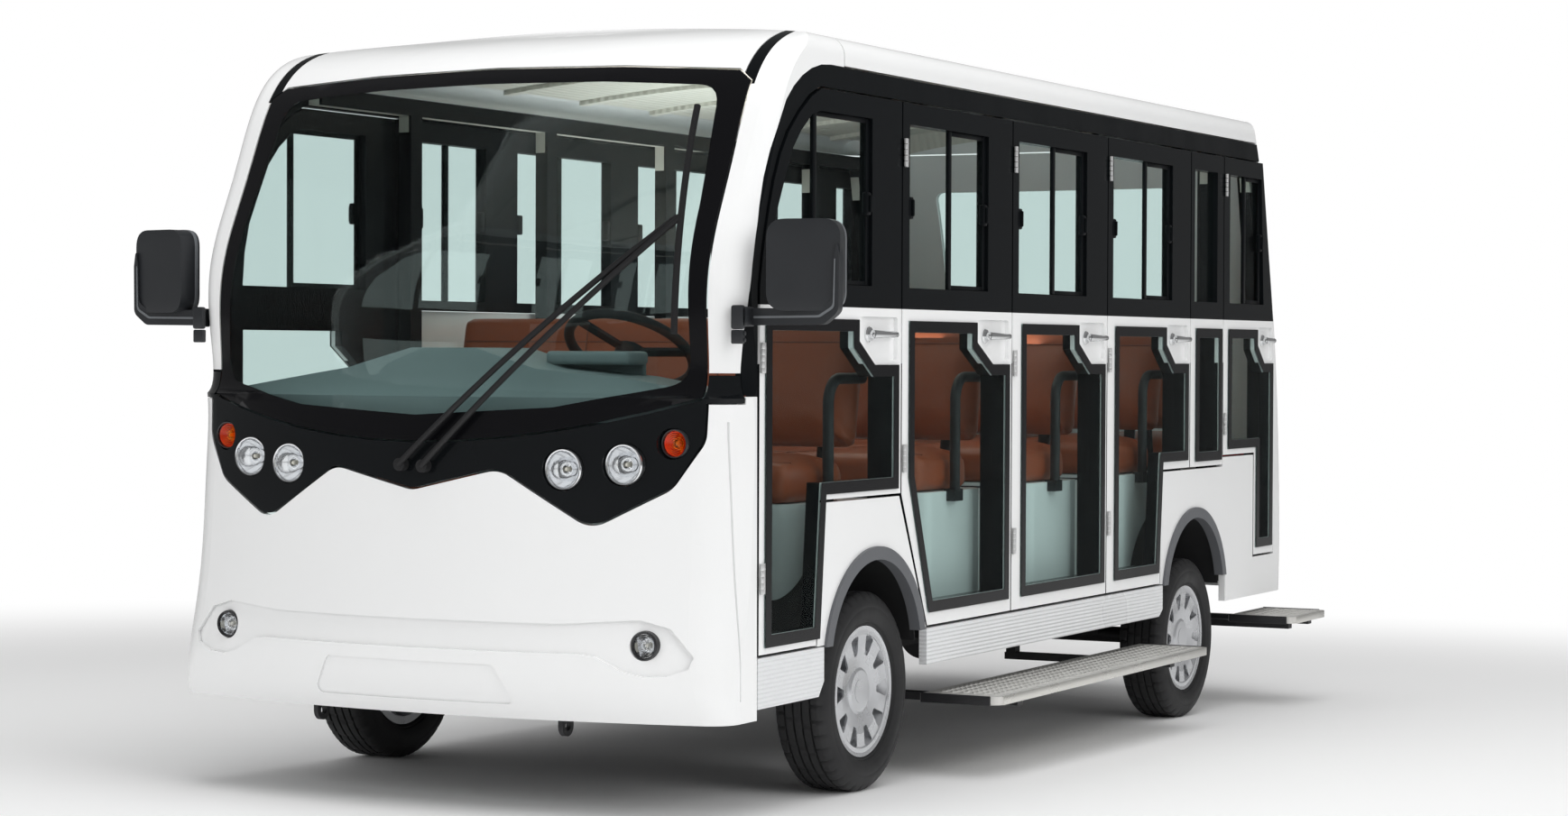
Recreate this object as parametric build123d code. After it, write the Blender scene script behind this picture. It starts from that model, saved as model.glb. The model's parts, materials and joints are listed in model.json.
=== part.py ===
"""Closed electric sightseeing bus, 14 seats, built level and then set down at its parked rake.

Body coordinates, in millimetres: +X forward from the front axle, +Y to the bus's left, +Z up
from the ground. place_body() turns the sprung pieces nose-down about the front wheel centres,
and both place functions move the origin under the middle of the whole bus.
"""
from build123d import *
import math
import os

# Running gear
tyre_r = 280.5
tyre_w = 165
rim_r = 165
rim_w = 128
track = 1540
wheelbase = 2604
rake_deg = 1.2
steer_deg = 25
kingpin_y = 735
kingpin_r = 12
stub_r = 17
run_gap = 0.05
cover_r = 184
hub_out = 57
spring_y = 485
rail_y = 390

# Body shell
half_w = 872
wall = 40
skin = 24
seam = 6
moving_gap = 8
front_x = 1040
rear_x = -3705
belt_z = 1355
door_top_z = 1947
gutter_top_z = 2012
crown_z = 2150
shoulder_z = 2098
shoulder_r = 58
skirt_z = 327
sill_z = 437
floor_t = 20
floor_z = 452

# Doors and the fixed narrow window of the left side
door_1_front = 703
door_1_w = 869
door_pitch = 795
door_5_w = 577
panel_w = 346
notch_z = 828
door_top_slant = 145

# Wheel arches
arch_r = 327
arch_open_r = 290
arch_z = 362
flare_out = 9

# Cabin
bench_foot_x = 75
box_top_z = 812
box_front = 190
box_rear = 260
bench_right_y = -640
bench_left_y = 735
cushion_t = 120
back_t = 85
back_top_z = 1345
back_lean = 12
rail_r = 16
steer_wheel_r = 190
steer_wheel_x = 500
steer_wheel_y = 370
steer_wheel_z = 1235
steer_wheel_tilt = 24
seat_gap = 0.3

# Loft sections of the nose: height, centre x, radius of the front curve, corner radius
nose_low = [
    (272, 985, 3200, 85),
    (330, 1022, 2700, 105),
    (440, 1040, 2300, 140),
    (700, 1018, 2050, 170),
    (950, 1006, 2000, 180),
    (1110, 996, 2000, 150),
]
nose_high = [
    (1110, 996, 2000, 150),
    (1337, 945, 2400, 105),
    (1660, 822, 3000, 75),
    (1900, 690, 3600, 65),
    (1990, 618, 4000, 60),
    (2080, 470, 4800, 60),
    (2160, 160, 6000, 60),
]
# Loft sections of the tail: height, centre x, radius of the rear curve, corner radius
tail = [
    (300, -3690, 6000, 130),
    (450, -3705, 6000, 135),
    (900, -3690, 6000, 140),
    (1355, -3625, 6000, 140),
    (1750, -3520, 6000, 140),
    (1960, -3440, 6000, 140),
    (2160, -3330, 6000, 140),
]

# Left side seams, from front to rear
door_edges = {1: (door_1_front, door_1_front - door_1_w)}
for number in (2, 3, 4):
    edge = door_edges[number - 1][1]
    door_edges[number] = (edge, edge - door_pitch)
panel_front = door_edges[4][1]
panel_rear = panel_front - panel_w
door_edges[5] = (panel_rear, panel_rear - door_5_w)
rear_axle_x = -wheelbase
shift_x = -(front_x + rear_x) / 2


def place_level(shape):
    """Move an unsprung piece from body coordinates to the part's frame."""
    return Pos(shift_x, 0, 0) * shape


def place_body(shape):
    """Turn a sprung piece nose-down about the front wheel centres, then move it."""
    return Pos(shift_x, 0, tyre_r) * (Rot(0, rake_deg, 0) * (Pos(0, 0, -tyre_r) * shape))


def block(x0, x1, y0, y1, z0, z1):
    """A box between two corners."""
    size = Box(abs(x1 - x0), abs(y1 - y0), abs(z1 - z0))
    return Pos((x0 + x1) / 2, (y0 + y1) / 2, (z0 + z1) / 2) * size


def side_prism(points, y0, y1, radius=0):
    """A plate seen from the side: an outline of (x, z) points between two y planes."""
    if radius:
        line = FilletPolyline(*points, radius=radius, close=True)
    else:
        line = Polyline(*points, close=True)
    face = make_face(line.edges())
    return extrude(Plane.XZ.offset(-max(y0, y1)) * face, amount=abs(y1 - y0))


def shrunk(points, amount):
    """A closed outline of points with every edge moved inward by amount."""
    area = sum(a[0] * b[1] - b[0] * a[1] for a, b in zip(points, points[1:] + points[:1]))
    turn = math.copysign(amount, area)
    moved = []
    for before, here, after in zip(points[-1:] + points[:-1], points, points[1:] + points[:1]):
        in_x, in_z = here[0] - before[0], here[1] - before[1]
        out_x, out_z = after[0] - here[0], after[1] - here[1]
        in_len, out_len = math.hypot(in_x, in_z), math.hypot(out_x, out_z)
        n_x = -in_z / in_len - out_z / out_len
        n_z = in_x / in_len + out_x / out_len
        scale = 2 * turn / (n_x ** 2 + n_z ** 2)
        moved.append((here[0] + n_x * scale, here[1] + n_z * scale))
    return moved


def arc_points(start, middle, end, count):
    """Points spread evenly along the arc through three points."""
    arc = ThreePointArc(start, middle, end)
    return [((arc @ (i / count)).X, (arc @ (i / count)).Y) for i in range(count + 1)]


def across_prism(points, x0, x1, radius=0):
    """A section seen from the front: an outline of (y, z) points between two x planes."""
    if radius:
        line = FilletPolyline(*points, radius=radius, close=True)
    else:
        line = Polyline(*points, close=True)
    face = make_face(line.edges())
    return extrude(Plane.YZ.offset(min(x0, x1)) * face, amount=abs(x1 - x0))


def tube_y(x, z, r, y0, y1):
    """A round bar along y."""
    return Pos(x, (y0 + y1) / 2, z) * Rot(90, 0, 0) * Cylinder(r, abs(y1 - y0))


def tube_z(x, y, r, z0, z1):
    """A round bar along z."""
    return Pos(x, y, (z0 + z1) / 2) * Cylinder(r, abs(z1 - z0))


def mirrored(shape):
    """The same piece on the other side of the bus."""
    return mirror(shape, about=Plane.XZ)


def joined(shapes):
    """All the given solids as one compound without fusing them."""
    solids = []
    for shape in shapes:
        solids.extend(shape.solids())
    return Compound(children=solids)


def end_section(z, centre_x, front_r, corner_r, inset, direction, cut_x):
    """A closed outline at height z: straight sides, two corner arcs and a wide end arc."""
    half = half_w - inset
    r = max(corner_r - inset, 20)
    big_r = front_r - inset
    x_end = centre_x * direction - inset
    x_mid = x_end - big_r
    corner_x = x_mid + math.sqrt((big_r - r) ** 2 - (half - r) ** 2)
    scale = big_r / (big_r - r)
    join = (x_mid + (corner_x - x_mid) * scale, (half - r) * scale)
    angle = (math.atan2(half - r, corner_x - x_mid) + math.pi / 2) / 2
    middle = (corner_x + r * math.cos(angle), half - r + r * math.sin(angle))

    def at(x, y):
        return (x * direction, y, z)

    back = cut_x * direction
    edges = [
        Line(at(back, half), at(corner_x, half)),
        ThreePointArc(at(corner_x, half), at(*middle), at(*join)),
        ThreePointArc(at(*join), at(x_end, 0), at(join[0], -join[1])),
        ThreePointArc(at(join[0], -join[1]), at(middle[0], -middle[1]), at(corner_x, -half)),
        Line(at(corner_x, -half), at(back, -half)),
        Line(at(back, -half), at(back, half)),
    ]
    return Wire(edges)


def end_solid(rows, inset, direction, cut_x):
    """A nose or tail: a loft through its sections."""
    return Solid.make_loft([end_section(*row, inset, direction, cut_x) for row in rows])


def roof_section(inset):
    """The cross-section that trims every piece under the roof's shoulders and crown."""
    half = half_w - inset
    top = crown_z - inset
    shoulder = shoulder_z - inset
    r = shoulder_r - inset / 2
    low = 100
    z_bend = shoulder - r
    y_bend = half - 6
    outline = [
        Line((-half, low), (half, low)),
        Line((half, low), (y_bend, z_bend)),
        ThreePointArc((y_bend, z_bend), (y_bend - r * 0.293, z_bend + r * 0.707), (y_bend - r, shoulder)),
        ThreePointArc((y_bend - r, shoulder), (0, top), (r - y_bend, shoulder)),
        ThreePointArc((r - y_bend, shoulder), (r * 0.293 - y_bend, z_bend + r * 0.707), (-y_bend, z_bend)),
        Line((-y_bend, z_bend), (-half, low)),
    ]
    return extrude(Plane.YZ.offset(rear_x - 200) * make_face(outline), amount=front_x - rear_x + 400)


middle_front = -300
middle_rear = -2700


def envelope(inset):
    """The whole closed outline of the body, moved in by inset."""
    low = end_solid(nose_low, inset, 1, middle_front)
    high = end_solid(nose_high, inset, 1, middle_front)
    back = end_solid(tail, inset, -1, middle_rear)
    half = half_w - inset
    middle = block(middle_rear, middle_front, -half, half, nose_low[0][0], nose_high[-1][0])
    return (low + high + middle + back) & roof_section(inset)


outer = envelope(0)
inner = envelope(skin)
deep = envelope(wall)
shell = outer - inner


# Height above which the rear seams lean forward
slant_z = 1300

# Openings of the upper windows and of the lower glass
upper_low_z = 1416
upper_high_z = 1882
handle_z = 1282
glass_t = 5
screen_half = 778
pillar_t = 45
pillar_w = 60
pillar_gap = 7
liner_t = 4
liner_r = 316
liner_in_y = 555
roof_low_z = gutter_top_z + 3
pillar_y = half_w - wall - pillar_gap
seal_y = half_w - wall - seat_gap
seal_w = 36

# Lamps: distance from the centre line, height, x of the lens, radius
headlamps = [(434, 925, 962, 55), (592, 939, 922, 55)]
fog_lamps = [(661, 475, 934, 38)]
turn_lamps = [(712, 994, 868, 40)]
lamp_depth = 60
lens_round = 12
lamp_gap = 0.8


# Front details: outlines seen from the front as (y, z) points of the left half
mask_round = 80
mask_half = [(0, 866), (258, 925), (513, 772), (715, 878), (788, 1000), (797, 1300)]
foot_x = 757
foot_low_z = 1098
foot_high_z = 1170
pillar_foot_z = 1118
groove_depth = 12
groove_half = [(0, 527), (442, 527), (650, 541), (728, 520), (790, 448), (778, 418), (725, 399), (668, 396),
               (612, 408), (538, 446), (495, 451), (0, 451)]
plate_depth = 6
plate_half = [(262, 416), (318, 312)]
side_groove_x = 797
side_groove_depth = 5
strip_in_y = 754
strip_out_y = 786


def mask_prism(grow):
    """The lamp mask seen from the front, with its two dips and its raised middle."""
    half = [(y + grow * (z > 950), z - grow * (z < 1100)) for y, z in mask_half[1:]]
    other = [(-y, z) for y, z in reversed(half)]
    return across_prism(other + [(0, mask_half[0][1] - grow)] + half, 300, front_x + 100, mask_round)


def screen_prism(grow):
    """The windscreen seen from the front: low in the middle, with a slightly arched top."""
    half = screen_half + grow
    low = []
    for i in range(-6, 7):
        y = half * i / 6
        low.append((y, 992 + 118 * (i / 6) ** 2 - grow))
    top = [(half, 1950), (735, 1982 + grow), (400, 2000 + grow), (0, 2007 + grow),
           (-400, 2000 + grow), (-735, 1982 + grow), (-half, 1950)]
    return across_prism(low + top, 250, front_x + 100)


def front_cap():
    """White nose below the mask, with its lamp groove, blank plate recess and side grooves."""
    edge = door_1_front + moving_gap / 2
    zone = block(edge, front_x + 100, -1000, 1000, 200, foot_low_z - seam / 2)
    zone += block(edge, foot_x - seam / 2, -1000, 1000, 200, pillar_foot_z - seam / 2)
    cap = (shell & zone) - mask_prism(seam / 2) - screen_prism(seam / 2)
    groove = groove_half + [(-y, z) for y, z in reversed(groove_half[1:-1])]
    cap -= across_prism(groove, 300, front_x + 100) - end_solid(nose_low, groove_depth, 1, middle_front)
    plate = plate_half + [(-y, z) for y, z in reversed(plate_half)]
    cap -= across_prism(plate, 900, front_x + 100, 16) - end_solid(nose_low, plate_depth, 1, middle_front)
    under_groove = end_solid(nose_low, side_groove_depth, 1, middle_front)
    for side in (-1, 1):
        cap -= block(side_groove_x - 3, side_groove_x + 3, side * 820, side * 900, 330, 1050) - under_groove
        for y, z, lens_x, r in fog_lamps:
            cap -= Pos(lens_x, side * y, z) * Rot(0, 90, 0) * Cylinder(r + lamp_gap, 300)
    return cap


def front_mask():
    """Black lamp mask between the nose and the windscreen, with a black foot under each hoop."""
    zone = block(300, front_x + 100, -1000, 1000, 700, foot_low_z + seam)
    feet = block(foot_x, front_x, -half_w, half_w, foot_low_z, foot_high_z)
    mask = (shell & ((mask_prism(-seam / 2) & zone) + feet)) - screen_prism(seam / 2)
    for y, z, lens_x, r in headlamps + turn_lamps:
        for side in (-1, 1):
            mask -= Pos(lens_x, side * y, z) * Rot(0, 90, 0) * Cylinder(r + lamp_gap, 300)
    return mask


def windscreen():
    """Curved laminated windscreen."""
    glass = shell & screen_prism(-seam / 2)
    high = end_solid(nose_high, glass_t, 1, middle_front)
    low = end_solid(nose_low, glass_t, 1, middle_front)
    return glass - high - low


def lamps(table):
    """Round lamps on both sides: a cup with a round-edged lens."""
    cups = []
    for y, z, lens_x, r in table:
        lamp = Rot(0, 90, 0) * Cylinder(r, lamp_depth)
        lamp = fillet(lamp.edges().group_by(Axis.X)[-1], lens_round)
        for side in (-1, 1):
            cups.append(Pos(lens_x - lamp_depth / 2, side * y, z) * lamp)
    return joined(cups)


def hoop_edge():
    """Rear edge of the front hoop seen from the side, as (x, z) points going up."""
    low = arc_points((foot_x, 1290), (705, 1572), (544, 1899), 8)
    high = arc_points((544, 1899), (430, 1980), (280, gutter_top_z), 5)
    return [(foot_x, 1000)] + low + high[1:]


hoop_rear_x = 200
band_lap = 2


def front_hoops():
    """White pillars that sweep back over the front doors into the roof's edge."""
    zone = block(hoop_rear_x, front_x + 100, -1000, 1000, foot_high_z + seam, crown_z + 50)
    ring = (shell & zone) - screen_prism(seam / 2)
    under = hoop_edge() + [(hoop_rear_x - 10, gutter_top_z), (hoop_rear_x - 10, 1000)]
    ring -= side_prism(under, -half_w - 50, half_w + 50)
    middle = strip_out_y + seam / 2
    return ring - block(hoop_rear_x - 50, front_x, -middle, middle, 1940, crown_z + 50)


def roof_strip():
    """Black strip of the left side between the visor and the hoop."""
    strip = shell & block(hoop_rear_x, front_x, strip_in_y, strip_out_y, 1940, crown_z + 50)
    return strip - screen_prism(seam / 2)


def roof():
    """White roof skin with its front visor."""
    rear_part = shell & block(rear_x - 50, hoop_rear_x - seam, -1000, 1000, roof_low_z, crown_z + 50)
    edge = strip_in_y - seam / 2
    visor = shell & block(hoop_rear_x - 2 * seam, front_x, -edge, edge, 1940, crown_z + 50)
    visor -= screen_prism(seam / 2)
    return rear_part + visor


def roof_lining():
    """Ribbed moulded ceiling."""
    zone = block(-3350, 420, -765, 765, roof_low_z - 20, crown_z)
    skin_in = skin + 2
    lining = (envelope(skin_in) - envelope(skin_in + 8)) & zone
    rib_band = (envelope(skin_in + 6) - envelope(skin_in + 22)) & zone
    for i in range(8):
        x = 280 - i * 470
        lining += rib_band & block(x - 22, x + 22, -765, 765, 1900, crown_z)
    return lining


def door_outline(number, inset):
    """Outline of a side door as (x, z) points; number 1 has the curved front and the arch notch."""
    front, rear = door_edges[number]
    front -= inset
    rear += inset
    low = sill_z + inset
    notch = notch_z + inset
    top = door_top_z - inset
    if number == 1:
        return [(front, low), (364 + inset, low), (346 + inset, notch), (rear, notch), (rear, top),
                (344, top), (411 - inset * 0.7, 1919 - inset), (477 - inset * 0.7, 1873 - inset * 0.8),
                (542 - inset * 0.8, 1816 - inset * 0.7), (588 - inset * 0.9, 1754 - inset * 0.5),
                (624 - inset, 1684 - inset * 0.4), (650 - inset, 1612), (672 - inset, 1541),
                (687 - inset, 1482), (front, 1400)]
    if number == 2:
        return [(front, notch_z), (-345 - inset, low), (rear, low), (rear, top), (front, top)]
    if number == 4:
        return [(front, low), (-2262 + inset, low), (-2262 + inset, notch), (rear, notch), (rear, top), (front, top)]
    if number == 5:
        return [(front, 862 + inset), (-3240 - inset, 862 + inset), (-3240 - inset, 482 + inset),
                (rear, 482 + inset), (rear, slant_z), (rear + door_top_slant, top), (front, top)]
    return [(front, low), (rear, low), (rear, top), (front, top)]


def upper_opening(number):
    """Upper window of a door, as (x, z) points."""
    front, rear = door_edges[number]
    low, high = upper_low_z, upper_high_z
    if number == 1:
        return [(640, low), (631, 1509), (609, 1594), (569, 1672), (518, 1768), (467, 1822), (401, 1869),
                (350, high), (30, high), (30, low)]
    if number == 5:
        return [(front - 66, low), (rear + 130, low), (rear + 160, high), (front - 66, high)]
    return [(front - 50, low), (rear + 185, low), (rear + 185, high), (front - 50, high)]


# Each lower pane: how far its top corner and its slanted corner lie before the door's rear edge
pane_corner = {1: (284, 185), 2: (273, 156), 3: (257, 153), 4: (249, 166), 5: (206, 131)}
pane_top_z = 1322
pane_corner_z = 1262
pane_notch_z = 1197
pane_low_z = 478
pane_edge = 26
pane_border = 33
pane_out = 0.3


def lower_pane(number):
    """Outline of a door's bonded lower pane, with the corner under the handle, as (x, z) points."""
    front, rear = door_edges[number]
    top_x, notch_x = (rear + offset for offset in pane_corner[number])
    corner = [(rear + pane_edge, pane_notch_z), (notch_x, pane_notch_z), (top_x, pane_corner_z), (top_x, pane_top_z)]
    if number == 1:
        return [(671, pane_top_z), (671, 458), (354, 458), (319, 846), (rear + pane_edge, 846)] + corner
    if number == 2:
        return [(front - 45, pane_top_z), (front - 45, 874), (-350, pane_low_z), (rear + pane_edge, pane_low_z)] + corner
    if number == 4:
        return [(front - 65, pane_top_z), (front - 65, pane_low_z), (-2240, pane_low_z), (-2275, 858),
                (rear + pane_edge, 858)] + corner
    if number == 5:
        return [(front - 48, pane_top_z), (front - 48, 886), (-3262, 886), (-3262, 512), (rear + pane_edge, 512)] + corner
    return [(front - 70, pane_top_z), (front - 70, pane_low_z), (rear + pane_edge, pane_low_z)] + corner


def proud_pane(points):
    """A pane bonded on the outside of its frame."""
    return side_prism(points, half_w + pane_out, half_w + pane_out + glass_t)


# Heights of the hinges on each door's front edge
hinge_heights = {1: (640, 1216), 2: (930, 1800), 3: (654, 1200, 1825), 4: (671, 1210, 1840), 5: (978, 1842)}
hinge_y = half_w + 8
hinge_back = 6
hinge_r = 5
hinge_h = 80
hinge_leaf = 30
pocket_depth = 12
lever_r = 8


def door_leaf(number):
    """A whole side door, with its window openings, handle pocket, lever and hinge leaves."""
    y0 = half_w - wall
    leaf = side_prism(door_outline(number, moving_gap / 2), y0, half_w)
    leaf -= side_prism(upper_opening(number), y0 - 5, half_w + 5)
    leaf -= side_prism(shrunk(lower_pane(number), pane_border), y0 - 5, half_w + 5)
    front, rear = door_edges[number]
    top_x, notch_x = (rear + offset for offset in pane_corner[number])
    pocket = [(top_x - 24, 1331), (rear + 28, 1331), (rear + 28, 1208), (notch_x - 12, 1208), (top_x - 24, 1250)]
    leaf -= side_prism(pocket, half_w - pocket_depth, half_w + 5, 8)
    x = top_x - 86
    length = min(150, x - rear - 25)
    leaf += tube_y(x, handle_z, 20, half_w - pocket_depth - 1, half_w - 3)
    leaf += tube_y(x, handle_z, 9, half_w - pocket_depth, half_w + 12)
    leaf += Pos(x + 8 - length / 2, half_w + 10, handle_z) * Rot(0, 90, 0) * Cylinder(lever_r, length)
    for z in hinge_heights[number]:
        z0, z1 = z - hinge_h / 2, z + hinge_h / 2
        leaf += block(front - hinge_leaf, front - hinge_back - 2, half_w - 2, half_w + 5, z0, z1)
        leaf += tube_z(front - hinge_back, hinge_y, hinge_r, z0, z1)
    return leaf


def door_glass(number):
    """A door's upper pane, in the middle of its thickness, and its lower pane, on its outside."""
    y0 = half_w - wall / 2 - glass_t / 2
    return joined([side_prism(upper_opening(number), y0, y0 + glass_t), proud_pane(lower_pane(number))])


def fixed_panel():
    """The narrow fixed window between the fourth and fifth doors, and the outlines of its panes."""
    gap = moving_gap / 2
    front, rear = panel_front - gap, panel_rear + gap
    y0 = half_w - wall
    panel = side_prism([(front, notch_z + gap), (rear, notch_z + gap), (rear, door_top_z - gap),
                        (front, door_top_z - gap)], y0, half_w)
    upper = [(front - 36, upper_low_z), (rear + 65, upper_low_z), (rear + 65, upper_high_z), (front - 36, upper_high_z)]
    lower = [(front - 46, 850), (rear + 18, 850), (rear + 18, pane_top_z), (front - 46, pane_top_z)]
    for points in (upper, shrunk(lower, pane_border)):
        panel -= side_prism(points, y0 - 5, half_w + 5)
    return panel, upper, lower


def post_at(x, foot_z, shift=0):
    """A door post behind the seam at x with its seal, leaning forward by shift above the slant."""
    def upright(half, y0, y1):
        top = door_top_z + 10
        return side_prism([(x - half, foot_z), (x + half, foot_z), (x + half, slant_z), (x + half + shift, top),
                           (x - half + shift, top), (x - half, slant_z)], y0, y1)

    return upright(pillar_w / 2, pillar_y - pillar_t, pillar_y) + upright(seal_w / 2, pillar_y - 1, seal_y)


def side_frame():
    """Black steel frame of the left side: front curve and gutter, cant rail, posts and sill."""
    rear_top = door_edges[5][1] + door_top_slant
    gap = moving_gap / 2
    hoop = [(x - 2, z) for x, z in hoop_edge()[1:-1]]
    band = side_prism([(foot_x - 2, pillar_foot_z)] + hoop + [(280, gutter_top_z - 2),
                      (tail_seam(gutter_top_z) + gap, gutter_top_z - 2),
                      (tail_seam(door_top_z - 20) + gap, door_top_z - 20), (620, pillar_foot_z)],
                      half_w - wall - band_lap, half_w) & outer
    band -= side_prism(door_outline(1, -2), half_w - wall - 5, half_w + 5)
    band -= block(rear_top - 100, 300, half_w - wall - 5, half_w + 5, 1000, door_top_z + 2)
    cant = block(rear_top - 40, 330, pillar_y - pillar_t, half_w - wall + 3, door_top_z + 6, gutter_top_z - 8)
    frame = band + (cant & deep)
    over_arch = arch_z + liner_r + 15
    for x, foot_z in ((door_edges[1][1], over_arch), (door_edges[2][1], floor_z), (door_edges[3][1], floor_z),
                      (door_edges[4][1], over_arch), (panel_rear, over_arch)):
        frame += post_at(x, foot_z)
    frame += post_at(door_edges[5][1] + 14, floor_z, door_top_slant) & deep
    sill = block(door_edges[5][1] - 30, door_1_front - 40, pillar_y - pillar_t, pillar_y, floor_z, floor_z + 25)
    for x in (0, rear_axle_x):
        sill -= block(x - liner_r - 10, x + liner_r + 10, 700, 900, 400, 700)
    return frame + sill


def arch_cut(x, radius, y0, y1):
    """The open shape of a wheel arch, down past the skirt."""
    return tube_y(x, arch_z, radius, y0, y1) + block(x - radius, x + radius, y0, y1, 150, arch_z)


# Upper windows of the fixed right side: front x, rear x
right_windows = [(-248, -640), (-830, -1434), (-1620, -2224), (-2410, -3014), (-3180, -3318)]
right_low_z = 1388


def window_band():
    """Black window frame of the fixed right side, with one opening for each bay."""
    gap = moving_gap / 2
    front = door_edges[1][1] - gap
    rear_low, rear_high = door_edges[5][1] + 20, door_edges[5][1] + door_top_slant
    y0 = half_w - wall
    band = side_prism([(front, belt_z + 2), (rear_low, belt_z + 2), (rear_high, door_top_z), (front, door_top_z)],
                      y0, half_w)
    openings = []
    for window_front, window_rear in right_windows:
        points = [(window_front, right_low_z), (window_rear, right_low_z), (window_rear, upper_high_z),
                  (window_front, upper_high_z)]
        openings.append(points)
        band -= side_prism(points, y0 - 5, half_w + 5)
    return mirrored(band), openings


def wings():
    """White fixed lower panels: wings round the wheels, rear quarters and the whole right side."""
    y0 = half_w - skin
    gap = moving_gap / 2
    quarter_x = door_edges[5][1] - gap
    front_wing = side_prism([(364 - gap, sill_z), (346 - gap, notch_z - gap), (door_edges[1][1] + 12, notch_z - gap),
                             (-345 + gap, sill_z)], y0, half_w)
    rear_wing = side_prism([(-2262 - gap, sill_z), (-2262 - gap, notch_z - gap), (panel_rear, notch_z - gap),
                            (panel_rear, 862 - gap), (-3240 + gap, 862 - gap), (-3240 + gap, 482 - gap),
                            (quarter_x, 482 - gap), (quarter_x, 335), (-2930, 335), (-2930, sill_z)], y0, half_w)
    right_wall = side_prism([(-166 - gap, notch_z - 2), (-166 - gap, belt_z), (tail_seam(belt_z) + gap, belt_z),
                             (quarter_x, slant_z), (quarter_x, 335), (-2930, 335), (-2930, sill_z),
                             (-345 + gap, sill_z)], y0, half_w)
    panels = []
    for panel in (front_wing, rear_wing, mirrored(front_wing), mirrored(right_wall)):
        for x in (0, rear_axle_x):
            for side in (-1, 1):
                cut = arch_cut(x, arch_open_r + 4, y0 - 5, half_w + 5)
                panel -= cut if side == 1 else mirrored(cut)
        panels.append(panel)
    return joined(panels)


def skirts():
    """Ribbed sill strips under the doors, in front of and between the wheels."""
    y0 = half_w - skin
    strips = []
    front = side_prism([(door_1_front, 300), (door_1_front, sill_z - 4), (318, sill_z - 4), (318, 340), (350, 300)],
                       y0, half_w)
    middle = side_prism([(-345, skirt_z), (-345, sill_z - 4), (-2290, sill_z - 4), (-2290, 350), (-2255, skirt_z)],
                        y0, half_w)
    for strip in (front, middle):
        strips += [strip, mirrored(strip)]
    return joined(strips)


def arch_flares():
    """Grey moulded lips round the wheel openings."""
    flares = []
    for x in (0, rear_axle_x):
        ring = tube_y(x, arch_z, arch_r, half_w + 0.3, half_w + flare_out)
        ring -= tube_y(x, arch_z, arch_open_r, half_w - 50, half_w + 50)
        inner_lip = tube_y(x, arch_z, arch_open_r + 3.5, half_w - skin, half_w + flare_out)
        inner_lip -= tube_y(x, arch_z, arch_open_r, half_w - 50, half_w + 50)
        ring = (ring + inner_lip) - block(x - 400, x + 400, half_w - 60, half_w + 60, 0, sill_z - 5)
        flares += [ring, mirrored(ring)]
    return joined(flares)


def arch_liners():
    """Black inner wheel arches, closed towards the middle of the bus."""
    liners = []
    y1 = half_w - skin - 0.3
    for x in (0, rear_axle_x):
        outside = arch_cut(x, liner_r + liner_t, liner_in_y - liner_t, y1)
        hollow = arch_cut(x, liner_r, liner_in_y, y1 + 10)
        liner = (outside - hollow) - block(x - 500, x + 500, 400, 900, 0, 400)
        liners += [liner, mirrored(liner)]
    return joined(liners)


def tail_seam(z):
    """Where the seam in front of the tail lies at height z: upright, then leaning forward."""
    return door_edges[5][1] + door_top_slant * max(0, z - slant_z) / (door_top_z - slant_z)


def tail_window():
    """The tail window's outline seen from behind, run through the tail."""
    half = 520
    return across_prism([(-half, 1400), (half, 1400), (half, 1866), (-half, 1866)], rear_x - 100, -3300, 32)


def rear_panel():
    """White tail with its window opening and its lamp recesses."""
    gap = moving_gap / 2
    top = roof_low_z - seam
    cut = side_prism([(tail_seam(0) - gap, 100), (tail_seam(0) - gap, slant_z), (tail_seam(top) - gap, top),
                      (rear_x - 100, top), (rear_x - 100, 100)], -1000, 1000)
    panel = (shell & cut) - block(rear_x - 100, -3000, -1000, 1000, 100, 335)
    panel -= tail_window()
    for y, z, w, h in tail_lamp_table:
        for side in (-1, 1):
            panel -= block(rear_x - 100, -3400, side * y - w / 2 - 1, side * y + w / 2 + 1, z - h / 2 - 1, z + h / 2 + 1)
    return panel


# Tail lamps: distance from the centre line, height, width, height of the lens
tail_lamp_table = [(650, 760, 110, 240)]


def tail_lamps():
    """Upright lamp clusters on the tail."""
    lenses = []
    band = outer - envelope_thin
    for y, z, w, h in tail_lamp_table:
        for side in (-1, 1):
            zone = block(rear_x - 100, -3400, side * y - w / 2, side * y + w / 2, z - h / 2, z + h / 2)
            lenses.append(band & zone)
    return joined(lenses)


envelope_thin = envelope(18)


def fixed_windows(panel_upper, panel_lower, band_openings):
    """Panes of the narrow left panel, the right side and the tail."""
    y0 = half_w - wall / 2 - glass_t / 2
    panes = [side_prism(panel_upper, y0, y0 + glass_t), proud_pane(panel_lower)]
    panes += [mirrored(side_prism(points, y0, y0 + glass_t)) for points in band_openings]
    skin_out, skin_in = end_solid(tail, 10, -1, middle_rear), end_solid(tail, 10 + glass_t, -1, middle_rear)
    panes.append((skin_out - skin_in) & tail_window())
    return joined(panes)


def floor():
    """Floor plate with openings over the four wheels."""
    plate = block(rear_x + 80, 690, -pillar_y + pillar_t + 1, pillar_y - pillar_t - 1, floor_z - floor_t, floor_z)
    wide = block(rear_x + 80, 690, -pillar_y, pillar_y, floor_z - floor_t, floor_z)
    plate = (plate + wide) & deep
    for x in (0, rear_axle_x):
        for side in (-1, 1):
            hole = block(x - liner_r - 6, x + liner_r + 6, liner_in_y - 6, 900, 300, 600)
            plate -= hole if side == 1 else mirrored(hole)
    return plate


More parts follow.
